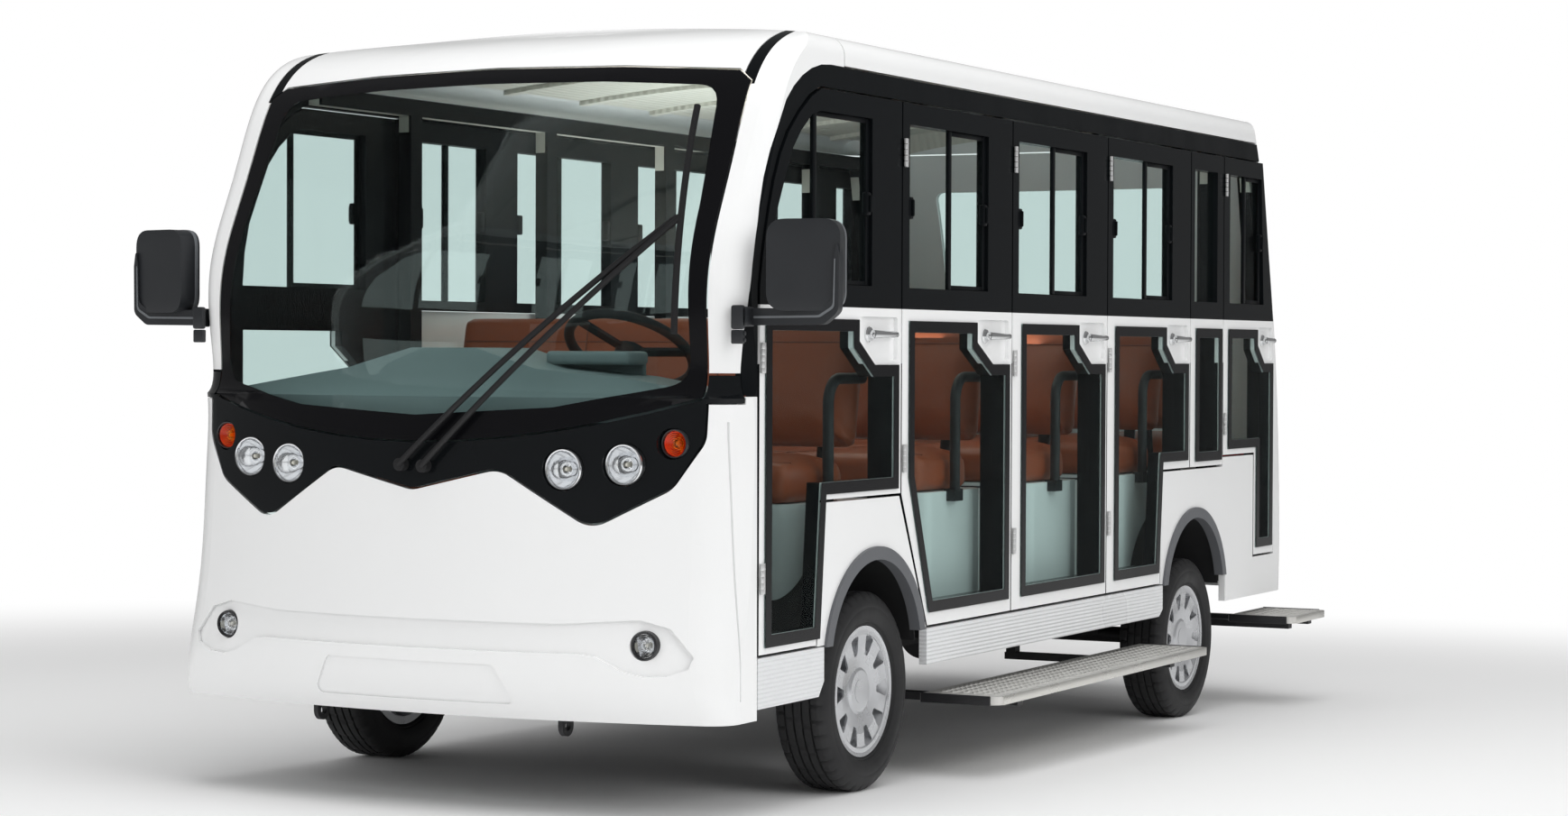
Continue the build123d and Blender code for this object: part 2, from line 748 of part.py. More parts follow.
def chassis():
    """Ladder chassis: two rails, cross members, outriggers and spring hangers."""
    z1 = floor_z - floor_t
    z0 = z1 - 90
    frame = None
    for side in (-1, 1):
        rail = block(rear_x + 140, 900, side * rail_y - 25, side * rail_y + 25, z0, z1)
        frame = rail if frame is None else frame + rail
    for x in (860, 420, -480, -1200, -1950, -3150, rear_x + 170):
        frame += block(x - 25, x + 25, -rail_y, rail_y, z0 + 20, z1)
    for x in (420, -480, -1200, -1950, -3150):
        for side in (-1, 1):
            frame += block(x - 20, x + 20, side * (rail_y - 20), side * (pillar_y - 5), z1 - 40, z1)
    reach = spring_w / 2 + seat_gap + hanger_t
    for level_x in (0, -wheelbase):
        for dx in (-spring_half, spring_half):
            x, z = raked(level_x + dx, spring_eye_z)
            for side in (-1, 1):
                y = side * spring_y
                hanger = block(x - 20, x + 20, side * rail_y, y + side * reach, z + 20, z1)
                for cheek in (-1, 1):
                    y0 = y + cheek * (spring_w / 2 + seat_gap)
                    hanger += block(x - 20, x + 20, y0, y0 + cheek * hanger_t, z - 18, z + 21)
                frame += hanger + tube_y(x, z, eye_bolt_r, y - reach, y + reach)
    for x, tow_z in tow_table:
        for side in (-1, 1):
            y = side * rail_y
            eye = tube_y(x, tow_z, tow_r, y - tow_t / 2, y + tow_t / 2)
            eye += block(x - tow_r, x + tow_r, y - tow_t / 2, y + tow_t / 2, tow_z, z0 + 5)
            frame += eye - tube_y(x, tow_z, tow_bore_r, y - tow_t, y + tow_t)
    for x in jack_x:
        for side in (-1, 1):
            frame += block(x - jack_w / 2, x + jack_w / 2, side * rail_y - 25, side * rail_y + 25, z0 - jack_t, z0)
    return frame


def raked(level_x, level_z):
    """Body coordinates of a point given in the level frame of the axles."""
    angle = math.radians(rake_deg)
    dz = level_z - tyre_r
    return (level_x * math.cos(angle) - dz * math.sin(angle), level_x * math.sin(angle) + dz * math.cos(angle) + tyre_r)


spring_half = 400
spring_w = 50
spring_eye_z = 344
spring_eye_r = 15
eye_bolt_r = 7
hanger_t = 7
axle_h = 56
# Towing eyes and jacking pads under the chassis rails
tow_table = [(868, 248), (rear_x + 175, 318)]
tow_r = 28
tow_t = 14
tow_bore_r = 13
jack_x = (-560, -1990)
jack_w = 90
jack_t = 8


def springs():
    """Leaf springs over both axles, clamped at their middles and held at both eyes."""
    packs = []
    low = tyre_r + axle_h / 2 + seat_gap
    for x in (0, -wheelbase):
        for side in (-1, 1):
            y0, y1 = side * spring_y - spring_w / 2, side * spring_y + spring_w / 2
            pack = None
            for level, half in enumerate((spring_half, 290, 190)):
                z = low + leaf_t * (2 - level)
                rise = (spring_eye_z - spring_eye_r - low - 2 * leaf_t) * (half / spring_half) ** 2
                lower = ThreePointArc((x - half, z + rise), (x, z), (x + half, z + rise))
                upper = ThreePointArc((x + half, z + leaf_t + 0.5 + rise), (x, z + leaf_t + 0.5),
                                      (x - half, z + leaf_t + 0.5 + rise))
                face = make_face([lower, Line(lower @ 1, upper @ 0), upper, Line(upper @ 1, lower @ 0)])
                leaf = extrude(Plane.XZ.offset(-y1) * face, amount=spring_w)
                pack = leaf if pack is None else pack + leaf
            for dx in (-spring_half, spring_half):
                pack += tube_y(x + dx, spring_eye_z, spring_eye_r, y0, y1)
            for dx in (-spring_half, spring_half):
                pack -= tube_y(x + dx, spring_eye_z, eye_bolt_r + seat_gap, y0 - 5, y1 + 5)
            packs.append(pack)
    return joined(packs)


leaf_t = 7.5


def front_axle():
    """Beam with an eye for each kingpin."""
    beam = block(-30, 30, -kingpin_y + 15, kingpin_y - 15, tyre_r - axle_h / 2, tyre_r + axle_h / 2)
    for side in (-1, 1):
        beam += tube_z(0, side * kingpin_y, 25, tyre_r - 30, tyre_r + 30)
        beam -= tube_z(0, side * kingpin_y, 29, tyre_r + 28, tyre_r + 60)
        beam -= tube_z(0, side * kingpin_y, kingpin_r + run_gap, tyre_r - 60, tyre_r + 60)
    for side in (-1, 1):
        for sign in (-1, 1):
            beam -= block(-60, 60, side * kingpin_y - 32, side * kingpin_y + 32, tyre_r + sign * 28,
                          tyre_r + sign * 60)
    return beam


arm_back = 120
arm_in = 60


def knuckle():
    """Left knuckle: two ears on the kingpin, stub axle, brake backing and steering arm."""
    piece = tube_z(0, kingpin_y, kingpin_r, tyre_r - 46, tyre_r + 46)
    for sign in (-1, 1):
        z0, z1 = sorted((tyre_r + sign * 30, tyre_r + sign * 46))
        piece += tube_z(0, kingpin_y, 24, z0, z1) + block(-24, 24, kingpin_y, kingpin_y + 40, z0, z1)
    piece += block(-24, 24, kingpin_y + 28, kingpin_y + 40, tyre_r - 46, tyre_r + 46)
    piece += tube_y(0, tyre_r, stub_r, kingpin_y + 30, track / 2 + hub_out - 8)
    arm = block(-arm_back - 14, 0, kingpin_y - arm_in - 14, kingpin_y - arm_in + 14, tyre_r - 46, tyre_r - 34)
    arm += block(-24, 24, kingpin_y - arm_in - 14, kingpin_y, tyre_r - 46, tyre_r - 34)
    return piece + arm


def tie_rod():
    """Rod that lies on both steering arms and turns them together."""
    z = tyre_r - 34 + seat_gap
    y = kingpin_y - arm_in
    rod = block(-arm_back - 9, -arm_back + 9, -y, y, z, z + 14)
    for side in (-1, 1):
        rod += tube_z(-arm_back, side * y, 14, z, z + 14)
    return rod


def rear_axle():
    """Driven axle: casing tubes, differential with its motor, backing plates and stub ends."""
    x = rear_axle_x
    axle = tube_y(x, tyre_r, axle_h / 2, -720, 720)
    axle += Pos(x, 0, tyre_r) * Sphere(95)
    axle += block(x - 30, x + 30, -spring_y - 35, -spring_y + 35, tyre_r, tyre_r + axle_h / 2)
    axle += block(x - 30, x + 30, spring_y - 35, spring_y + 35, tyre_r, tyre_r + axle_h / 2)
    for side in (-1, 1):
        axle += tube_y(x, tyre_r, 105, side * 712, side * 722)
        axle += tube_y(x, tyre_r, stub_r, side * 700, side * (track / 2 + hub_out - 8))
    motor = Pos(x + 240, 0, tyre_r) * Rot(0, 90, 0) * Cylinder(90, 320)
    return axle + motor


def wheel():
    """Steel wheel with its drum, hub and pressed cover, about the y axis, outboard to +y."""
    half = rim_w / 2
    flange = rim_r + 16
    profile = [(flange, -half), (flange, -half + 6), (rim_r, -half + 10), (rim_r - 12, -20), (rim_r - 12, 20),
               (rim_r, half - 10), (flange, half - 6), (flange, half), (rim_r - 4, half), (rim_r - 20, 26),
               (60, 22), (60, hub_out - 6), (stub_r + run_gap, hub_out - 6), (stub_r + run_gap, 8), (48, 8),
               (55, 14), (rim_r - 26, 16), (rim_r - 19, 12), (rim_r - 19, -20), (rim_r - 8, -half)]
    face = make_face(Polyline(*profile, close=True).edges())
    rim = revolve(Plane.XY * face, Axis.Y, 360)
    return rim + wheel_cover()


cover_spokes = 10


def wheel_cover():
    """Pressed cover: a shallow dish with a window between each pair of spokes."""
    profile = [(30, 49), (30, hub_out), (58, hub_out), (66, hub_out - 5), (120, hub_out + 2), (156, hub_out + 4),
               (cover_r, 66), (cover_r, 64.2), (150, 60), (118, 52), (62, 48)]
    face = make_face(Polyline(*profile, close=True).edges())
    dish = revolve(Plane.XY * face, Axis.Y, 360)
    cap = Pos(0, hub_out - 3, 0) * Rot(90, 0, 0) * Cylinder(34, 8)
    dish += cap
    outline = make_face(Polyline((104, -9), (156, -25), (160, 0), (156, 25), (104, 9), close=True).edges())
    slot = extrude(Plane.XZ.offset(-80) * fillet(outline.vertices(), 6), amount=60)
    for i in range(cover_spokes):
        dish -= Rot(0, 360 / cover_spokes * i, 0) * slot
    return dish


def tyre():
    """Tyre about the y axis, its rings made of flats so that it stays light."""
    half = tyre_w / 2
    bead = rim_w / 2
    side = [(rim_r + 0.5, bead - 10.5), (rim_r + 17.5, bead - 6.8), (rim_r + 21, bead + 2), (rim_r + 55, half),
            (tyre_r - 12, half - 10), (tyre_r, half - 26)]
    profile = side + [(r, -y) for r, y in reversed(side)]
    rings = []
    for r, y in profile:
        angles = [2 * math.pi * i / tyre_flats for i in range(tyre_flats)]
        rings.append([(r * math.sin(angle), y, -r * math.cos(angle)) for angle in angles])
    faces = []
    for ring, after in zip(rings, rings[1:] + rings[:1]):
        for i in range(tyre_flats):
            k = (i + 1) % tyre_flats
            faces.append(Face(Wire.make_polygon([ring[i], ring[k], after[k], after[i]], close=True)))
    return Solid(Shell(faces))


tyre_flats = 60


wheel_table = {"front_left": (0, 1), "front_right": (0, -1), "rear_left": (rear_axle_x, 1),
               "rear_right": (rear_axle_x, -1)}


def battery():
    """Battery pack between the chassis rails."""
    z1 = floor_z - floor_t - 0.3
    return block(-1900, -540, -rail_y + 30, rail_y - 30, z1 - 150, z1 - 91) + block(-1170, -540, -rail_y + 30,
                 rail_y - 30, z1 - 95, z1 - 0) - block(-1230, -1170, -rail_y, rail_y, z1 - 91, z1 + 10)


bench_feet = [bench_foot_x, door_edges[1][1] - 622, door_edges[2][1] - 622, door_edges[3][1] - 622]
last_bench_foot = bench_feet[-1] - 732


def bench_zone(foot, facing):
    """Front and rear x of a seat box whose rail stands at foot."""
    return (foot + facing * box_front, foot - facing * box_rear)


def rounded_block(x0, x1, y0, y1, z0, z1, r):
    """A box with its upright edges rounded."""
    shape = block(x0, x1, y0, y1, z0, z1)
    return fillet(shape.edges().filter_by(Axis.Z), r)


def seat_boxes():
    """White moulded boxes that carry the benches, open below over the wheels."""
    boxes = []
    liner_space = []
    for x in (0, rear_axle_x):
        space = arch_cut(x, liner_r + liner_t + 4, liner_in_y - liner_t - 4, 900)
        liner_space += [space, mirrored(space)]
    for foot, facing in bench_list():
        a, b = sorted(bench_zone(foot, facing))
        box = rounded_block(a, b, bench_right_y + 10, bench_left_y + 10, floor_z + seat_gap, box_top_z, 60)
        box -= rounded_block(a + 12, b - 12, bench_right_y + 22, bench_left_y - 2, floor_z - 20, box_top_z - 12, 50)
        for space in liner_space:
            box -= space
        boxes.append(box)
    return joined(boxes)


def bench_list():
    """Each bench as its rail's x and the way it faces."""
    return [(foot, 1) for foot in bench_feet] + [(last_bench_foot, -1)]


def seat_cushions():
    """Bench cushions on their boxes."""
    cushions = []
    for foot, facing in bench_list():
        a, b = sorted((foot + facing * 210, foot - facing * 180))
        cushion = block(a, b, bench_right_y, bench_left_y, box_top_z + seat_gap, box_top_z + cushion_t)
        cushions.append(fillet(cushion.edges(), 30))
    return joined(cushions)


def seat_backs():
    """Leaning bench backs."""
    backs = []
    for foot, facing in bench_list():
        low = 960
        lean = math.tan(math.radians(back_lean))
        x0 = foot - facing * 190
        run = (back_top_z - low) * lean
        points = [(x0, low), (x0 - facing * back_t, low), (x0 - facing * (back_t + run), back_top_z),
                  (x0 - facing * run, back_top_z)]
        back = side_prism(points, bench_right_y, bench_left_y)
        backs.append(fillet(back.edges(), 26))
    return joined(backs)


def grab_rails():
    """Arched rails at the outboard end of each bench, and the irons that carry the backs."""
    irons = []
    y = bench_left_y + 25
    for foot, facing in bench_list():
        r = 70
        top = 1158
        path = Line((foot, y, box_top_z + 4), (foot, y, top - r))
        bend = ThreePointArc((foot, y, top - r), (foot - facing * r * 0.293, y, top - r * 0.293),
                             (foot - facing * r, y, top))
        back = Line((foot - facing * r, y, top), (foot - facing * 215, y, top))
        rail = sweep(Plane(origin=(foot, y, box_top_z + 4), z_dir=(0, 0, 1)) * Circle(rail_r),
                     path=Wire([path, bend, back]))
        plate = block(foot - 30, foot + 30, bench_left_y + 2, y + 14, box_top_z - 30, box_top_z + 6)
        plate -= block(foot - 80, foot + 80, bench_left_y - 50, bench_left_y + 10.3, box_top_z - 80, box_top_z + 0.3)
        rail += plate
        irons.append(rail)
        for iron_y in (bench_right_y + 130, bench_left_y - 130):
            back_x = foot - facing * (190 + back_t)
            lean = math.tan(math.radians(back_lean))
            low_x = foot - facing * (box_rear + 0.3)
            points = [(low_x, box_top_z - 110), (low_x, box_top_z + 20), (back_x - facing * 0.4 - facing * lean * 60, 1020),
                      (back_x - facing * 0.4 - facing * lean * 260, 1220),
                      (back_x - facing * 8 - facing * lean * 260, 1220),
                      (back_x - facing * 8 - facing * lean * 60, 1020), (low_x - facing * 8, box_top_z + 20),
                      (low_x - facing * 8, box_top_z - 110)]
            irons.append(side_prism(points, iron_y - 20, iron_y + 20))
    return joined(irons)


def dashboard():
    """Moulded dash with a raised middle, and the steering column's shroud."""
    points = [(-790, 900), (-790, 1120), (-560, 1150), (-300, 1185), (-80, 1240), (120, 1240), (300, 1185),
              (520, 1165), (790, 1120), (790, 900)]
    dash = across_prism(points, 610, 1100, 40) & envelope(skin + 30)
    dash -= block(790, 1100, -half_w, half_w, 800, 1045)
    shroud = column_bar(42, -40, -330)
    dash += shroud & block(400, 800, -900, 900, 900, 1400)
    dash -= column_bar(column_r + run_gap, -130, 20)
    return dash


column_r = 11


def column_bar(r, low, high):
    """A bar along the steering column, between two distances above the wheel's centre."""
    a, b = sorted((low, high))
    bar = Pos(0, 0, (a + b) / 2) * Cylinder(r, b - a)
    return Pos(steer_wheel_x, steer_wheel_y, steer_wheel_z) * (Rot(0, -steer_wheel_tilt - 10, 0) * bar)


def steering_wheel():
    """Three-spoke steering wheel on its shaft."""
    rim = Torus(steer_wheel_r - 14, 14)
    hub = Pos(0, 0, -14) * Cylinder(42, 34)
    spokes = None
    for angle in (90, 210, 330):
        spoke = Rot(0, 0, angle) * (Pos((steer_wheel_r - 14) / 2, 0, -6) * Box(steer_wheel_r - 20, 30, 10))
        spokes = spoke if spokes is None else spokes + spoke
    shaft = Pos(0, 0, -70) * Cylinder(column_r, 110)
    wheel_shape = rim + hub + spokes + shaft
    return Pos(steer_wheel_x, steer_wheel_y, steer_wheel_z) * (Rot(0, -steer_wheel_tilt - 10, 0) * wheel_shape)


mirror_x = 735
mirror_y = 1025
mirror_z = 1455
mirror_w = 196
mirror_h = 236
mirror_d = 70
mirror_toe = 12


def door_mirrors():
    """Mirror heads on their arms and brackets, with the glass on the rear face."""
    head = block(-mirror_d / 2, mirror_d / 2, -mirror_w / 2, mirror_w / 2, -mirror_h / 2, mirror_h / 2)
    head = fillet(head.edges().filter_by(Axis.X), 50)
    head = fillet(head.edges().group_by(Axis.X)[-1], 24)
    head = Pos(mirror_x, mirror_y, mirror_z) * (Rot(0, 0, mirror_toe) * head)
    bracket = block(790, 850, half_w - 60, half_w + 6, 1290, 1352) - deep_front
    plate = block(790, 850, half_w - 60, half_w + 6, 1252, 1292) - deep_front
    arm = block(760, 800, half_w + 2, mirror_y + 40, 1300, 1345)
    join = block(mirror_x - 20, 800, mirror_y - 40, mirror_y + 40, 1320, 1350)
    left = head + bracket + plate + arm + join
    return joined([left, mirrored(left)])


deep_front = end_solid(nose_high, -0.3, 1, middle_front)


# Wiper arms, each as three points just off the glass, and the blade
wiper_arms = [[(1034, -28, 931), (968, 325, 1258), (800, 664, 1571)],
              [(1034, 43, 928), (962, 370, 1258), (796, 690, 1583)]]
wiper_blade = [(662, 664, 1880), (796, 690, 1578), (877, 716, 1278)]


def wipers():
    """Two arms side by side that carry one upright blade, on the mask."""
    pieces = rod_between(wiper_arms[0][2], wiper_arms[1][2], 9)
    for points in wiper_arms:
        start = points[0]
        pieces += bent_rod(points, 8) + Pos(start[0] - 22, start[1], start[2]) * Rot(0, 90, 0) * Cylinder(17, 40)
    pieces += bent_rod(wiper_blade, 9)
    return pieces - wiper_clear


wiper_clear = end_solid(nose_high, -0.4, 1, middle_front) + end_solid(nose_low, -0.4, 1, middle_front)


def rod_between(a, b, r):
    """A round bar between two points."""
    start, end = Vector(*a), Vector(*b)
    axis = end - start
    return extrude(Plane(origin=start, z_dir=axis) * Circle(r), amount=axis.length)


def bent_rod(points, r):
    """A round bar bent through three points."""
    arc = ThreePointArc(*points)
    return sweep(Plane(origin=arc @ 0, z_dir=arc % 0) * Circle(r), path=arc)


# Steps: front x, rear x, height of the top
step_table = [(-460, -2260, 230), (-3180, -3570, 264)]
step_in_y = 800
step_out_y = 1052
step_t = 24
step_round = 30


def step_plates():
    """Chequer-plate steps of the left side, with their outer corners rounded."""
    plates = []
    for front, rear, top in step_table:
        plate = block(front, rear, step_in_y, step_out_y, top - step_t, top)
        outer_edges = plate.edges().filter_by(Axis.Z).group_by(Axis.Y)[-1]
        plates.append(fillet(outer_edges, step_round))
    return joined(plates)


def step_arms():
    """Black arms that carry the steps from the chassis."""
    arms = []
    for front, rear, top in step_table:
        inset = min(250, (front - rear) / 5)
        low, high = top - step_t - 24, top - step_t - seat_gap
        for x in (front - inset, rear + inset):
            beam = block(x - 20, x + 20, rail_y + 20, step_out_y - 40, low, high)
            post = block(x - 20, x + 20, rail_y + 25.3, rail_y + 60, low, floor_z - floor_t - seat_gap)
            arms.append(beam + post)
    return joined(arms)


def build():
    """Every node in its final place."""
    sprung = {
        "chassis_frame": chassis(),
        "floor_pan": floor(),
        "front_cap": front_cap(),
        "front_mask": front_mask(),
        "windscreen": windscreen(),
        "front_hoops": front_hoops(),
        "roof_skin": roof(),
        "roof_lining": roof_lining(),
        "wing_panels": wings(),
        "skirt_strips": skirts(),
        "arch_flares": arch_flares(),
        "arch_liners": arch_liners(),
        "rear_panel": rear_panel(),
        "tail_lamps": tail_lamps(),
        "head_lamps": lamps(headlamps + fog_lamps),
        "turn_lamps": lamps(turn_lamps),
        "door_mirrors": door_mirrors(),
        "wipers": wipers(),
        "dashboard": dashboard(),
        "steering_wheel": steering_wheel(),
        "seat_boxes": seat_boxes(),
        "seat_cushions": seat_cushions(),
        "seat_backs": seat_backs(),
        "grab_rails": grab_rails(),
        "step_plates": step_plates(),
        "step_arms": step_arms(),
        "battery_pack": battery(),
    }
    frame = side_frame()
    strip = roof_strip()
    sprung["side_frames"] = joined([frame, mirrored(frame), strip, mirrored(strip)])
    panel, panel_upper, panel_lower = fixed_panel()
    band, band_openings = window_band()
    sprung["narrow_panel"] = panel
    sprung["window_band"] = band
    sprung["fixed_windows"] = fixed_windows(panel_upper, panel_lower, band_openings)
    for number in door_edges:
        sprung[f"door_left_{number}"] = door_leaf(number)
        sprung[f"door_left_{number}_glass"] = door_glass(number)
    sprung["door_right"] = mirrored(door_leaf(1))
    sprung["door_right_glass"] = mirrored(door_glass(1))
    left_knuckle = knuckle()
    level = {
        "front_axle": front_axle(),
        "rear_axle": rear_axle(),
        "leaf_springs": springs(),
        "knuckle_left": left_knuckle,
        "knuckle_right": mirrored(left_knuckle),
        "tie_rod": tie_rod(),
    }
    rim, rubber = wheel(), tyre()
    for name, (x, side) in wheel_table.items():
        for kind, shape in (("wheel", rim), ("tyre", rubber)):
            placed = Pos(x, track / 2, tyre_r) * shape
            level[f"{kind}_{name}"] = placed if side == 1 else mirrored(placed)
    placed = {name: place_body(shape) for name, shape in sprung.items()}
    placed.update({name: place_level(shape) for name, shape in level.items()})
    return placed


os.makedirs("parts", exist_ok=True)
for node, shape in build().items():
    export_step(shape, f"parts/{node}.step")
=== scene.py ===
import json
import math

import bpy
from mathutils import Matrix, Vector


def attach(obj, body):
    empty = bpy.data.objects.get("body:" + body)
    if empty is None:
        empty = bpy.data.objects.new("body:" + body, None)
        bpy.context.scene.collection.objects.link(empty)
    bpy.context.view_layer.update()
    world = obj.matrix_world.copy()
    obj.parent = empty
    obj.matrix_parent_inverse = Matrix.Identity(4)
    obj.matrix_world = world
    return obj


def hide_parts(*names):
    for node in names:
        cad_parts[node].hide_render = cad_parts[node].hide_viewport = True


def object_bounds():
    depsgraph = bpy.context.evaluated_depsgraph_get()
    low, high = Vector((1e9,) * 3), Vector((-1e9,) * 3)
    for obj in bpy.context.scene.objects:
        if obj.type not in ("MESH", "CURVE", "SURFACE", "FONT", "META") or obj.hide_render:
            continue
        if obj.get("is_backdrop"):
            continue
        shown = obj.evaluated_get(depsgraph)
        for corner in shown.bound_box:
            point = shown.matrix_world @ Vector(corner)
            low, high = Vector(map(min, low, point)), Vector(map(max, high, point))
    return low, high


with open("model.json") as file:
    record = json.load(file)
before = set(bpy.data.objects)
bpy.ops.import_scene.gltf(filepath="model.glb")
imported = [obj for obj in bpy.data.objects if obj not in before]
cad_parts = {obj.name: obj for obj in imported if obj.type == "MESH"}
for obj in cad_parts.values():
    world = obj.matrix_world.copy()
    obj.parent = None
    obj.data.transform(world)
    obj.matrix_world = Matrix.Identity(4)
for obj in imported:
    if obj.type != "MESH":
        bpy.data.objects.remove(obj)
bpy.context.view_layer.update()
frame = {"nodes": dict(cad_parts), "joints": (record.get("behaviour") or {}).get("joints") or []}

# Parked rake
# The sprung body sits nose-down over level axles, turned about the front wheel centres.
# Everything on the body is modelled level, from the front axle, and then set down at that rake.
rake = math.radians(1.2)
front_hub = next(joint["pos_m"] for joint in frame["joints"] if joint["name"] == "roll_front_left")
front_axle_x, tyre_r = front_hub[0], front_hub[2]
raked = (Matrix.Translation((front_axle_x, 0, tyre_r)) @ Matrix.Rotation(rake, 4, "Y")
         @ Matrix.Translation((0, 0, -tyre_r)))

# Studio
# A white floor and surround, lit by a wide soft top light, one from the door side, one on the nose
# and a small one inside the cabin. The camera stands where the photograph was taken, low and front left.


def new_object(name, data):
    """An object of its own for some data, in the scene."""
    made = bpy.data.objects.new(name, data)
    bpy.context.scene.collection.objects.link(made)
    return made


def maths(tree, operation, *fixed):
    """A maths node in a tree, with fixed numbers for the inputs after its first."""
    made = tree.nodes.new("ShaderNodeMath")
    made.operation = operation
    for number, value in enumerate(fixed, 1):
        made.inputs[number].default_value = value
    return made


def wire(source, output, target, socket):
    """Join a node's output to a socket of another node of its tree."""
    source.id_data.links.new(source.outputs[output], target.inputs[socket])


def set_inputs(node, values):
    """Give sockets of a node fixed values, by name or number."""
    for socket, value in values.items():
        node.inputs[socket].default_value = value


camera_data = bpy.data.cameras.new("photo_camera")
camera_data.sensor_width = 36
camera_data.lens = 72.09
camera = new_object("photo_camera", camera_data)
yaw, pitch, roll = math.radians(27.306), math.radians(-0.051), math.radians(0.786)
forward = Vector((-math.cos(yaw) * math.cos(pitch), -math.sin(yaw) * math.cos(pitch), -math.sin(pitch)))
level_right = forward.cross(Vector((0, 0, 1))).normalized()
level_up = level_right.cross(forward)
right = level_right * math.cos(roll) + level_up * math.sin(roll)
up = level_up * math.cos(roll) - level_right * math.sin(roll)
camera.matrix_world = Matrix.Translation((7.9342 + front_axle_x, 4.6699, 1.0646)) @ Matrix(
    (right, up, -forward)).transposed().to_4x4()
camera_data.clip_end = 200
bpy.context.scene.camera = camera
bpy.context.scene.view_settings.view_transform = "Standard"
white_paint = (0.93, 0.93, 0.93, 1)
full_white = (1, 1, 1, 1)
fade_from, fade_to = 3.5, 7.5
soft_strength, glossy_strength, seen_strength = 0.50, 0.22, 1.0

bpy.ops.object.select_all(action="DESELECT")
bpy.ops.mesh.primitive_circle_add(vertices=96, radius=40, fill_type="NGON", location=(0, 0, 0))
floor = bpy.context.object
floor.name = "floor"
paint = bpy.data.materials.new("studio_floor")
paint.use_nodes = True
tree = paint.node_tree
surface = tree.nodes["Principled BSDF"]
set_inputs(surface, {"Base Color": white_paint, "Roughness": 0.6, "Specular IOR Level": 0.2})
glow = tree.nodes.new("ShaderNodeEmission")
path = tree.nodes.new("ShaderNodeLightPath")
place = tree.nodes.new("ShaderNodeTexCoord")
reach = tree.nodes.new("ShaderNodeVectorMath")
reach.operation = "LENGTH"
fade = tree.nodes.new("ShaderNodeMapRange")
set_inputs(fade, {"From Min": fade_from, "From Max": fade_to})
fade.interpolation_type = "SMOOTHSTEP"
seen = maths(tree, "MULTIPLY")
blend = tree.nodes.new("ShaderNodeMixShader")
wire(place, "Object", reach, 0)
wire(reach, "Value", fade, "Value")
wire(fade, "Result", seen, 0)
wire(path, "Is Camera Ray", seen, 1)
wire(seen, "Value", blend, "Fac")
wire(surface, "BSDF", blend, 1)
wire(glow, "Emission", blend, 2)
wire(blend, "Shader", tree.nodes["Material Output"], "Surface")
floor.data.materials.append(paint)
floor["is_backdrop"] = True

world = bpy.data.worlds.new("white_studio")
bpy.context.scene.world = world
world.use_nodes = True
tree = world.node_tree
soft = tree.nodes["Background"]
set_inputs(soft, {"Color": full_white, "Strength": soft_strength})
white = tree.nodes.new("ShaderNodeBackground")
set_inputs(white, {"Color": full_white, "Strength": seen_strength})
path = tree.nodes.new("ShaderNodeLightPath")
seen = maths(tree, "MAXIMUM")
blend = tree.nodes.new("ShaderNodeMixShader")
dim = tree.nodes.new("ShaderNodeBackground")
set_inputs(dim, {"Color": full_white, "Strength": glossy_strength})
mirrored = tree.nodes.new("ShaderNodeMixShader")
wire(path, "Is Camera Ray", seen, 0)
wire(path, "Is Transmission Ray", seen, 1)
wire(path, "Is Glossy Ray", mirrored, "Fac")
wire(soft, "Background", mirrored, 1)
wire(dim, "Background", mirrored, 2)
wire(seen, "Value", blend, "Fac")
wire(mirrored, "Shader", blend, 1)
wire(white, "Background", blend, 2)
wire(blend, "Shader", tree.nodes["World Output"], "Surface")

for name, place_m, aim_m, size_m, power in (
        ("top_light", (1.0, 1.0, 7.0), (0, 0, 0), 7.0, 300),
        ("door_side_light", (4.0, 8.0, 4.5), (0, 0, 1.0), 5.0, 215),
        ("nose_light", (8.5, -2.5, 3.5), (1.5, 0, 1.0), 4.0, 90),
        ("cabin_light", (0.1, 0, 1.3), (0.1, 0, 2.0), 1.2, 24)):
    lamp = bpy.data.lights.new(name, "AREA")
    lamp.size = size_m
    lamp.energy = power
    holder = new_object(name, lamp)
    holder.location = place_m
    holder.visible_glossy = False
    holder.visible_transmission = False
    holder.visible_camera = False
    holder.rotation_euler = (Vector(aim_m) - Vector(place_m)).to_track_quat("-Z", "Y").to_euler()

# White moulded body
# Gel-coated fibreglass mouldings: nose, front hoops, roof, tail and the fixed lower panels.
# The gloss is broken by a faint orange-peel ripple and a little unevenness of tone.
grain = bpy.data.node_groups.new("surface_grain", "ShaderNodeTree")
for socket, kind, value in (("Colour", "NodeSocketColor", (0.5, 0.5, 0.5, 1)),
                            ("Tone Spread", "NodeSocketFloat", 0.05),
                            ("Patch Scale", "NodeSocketFloat", 3.0),
                            ("Smoothest", "NodeSocketFloat", 0.2),
                            ("Roughest", "NodeSocketFloat", 0.3),
                            ("Grain Scale", "NodeSocketFloat", 300.0),
                            ("Grain Depth", "NodeSocketFloat", 0.0002)):
    made = grain.interface.new_socket(socket, in_out="INPUT", socket_type=kind)
    made.default_value = value
for socket, kind in (("Colour", "NodeSocketColor"), ("Roughness", "NodeSocketFloat"),
                     ("Normal", "NodeSocketVector")):
    grain.interface.new_socket(socket, in_out="OUTPUT", socket_type=kind)
given = grain.nodes.new("NodeGroupInput")
result = grain.nodes.new("NodeGroupOutput")
place = grain.nodes.new("ShaderNodeTexCoord")
patches = grain.nodes.new("ShaderNodeTexNoise")
patches.inputs["Detail"].default_value = 3
fine = grain.nodes.new("ShaderNodeTexNoise")
fine.inputs["Detail"].default_value = 2
gain = maths(grain, "MULTIPLY_ADD", 1.0, 1.0)
centred = maths(grain, "SUBTRACT", 0.5)
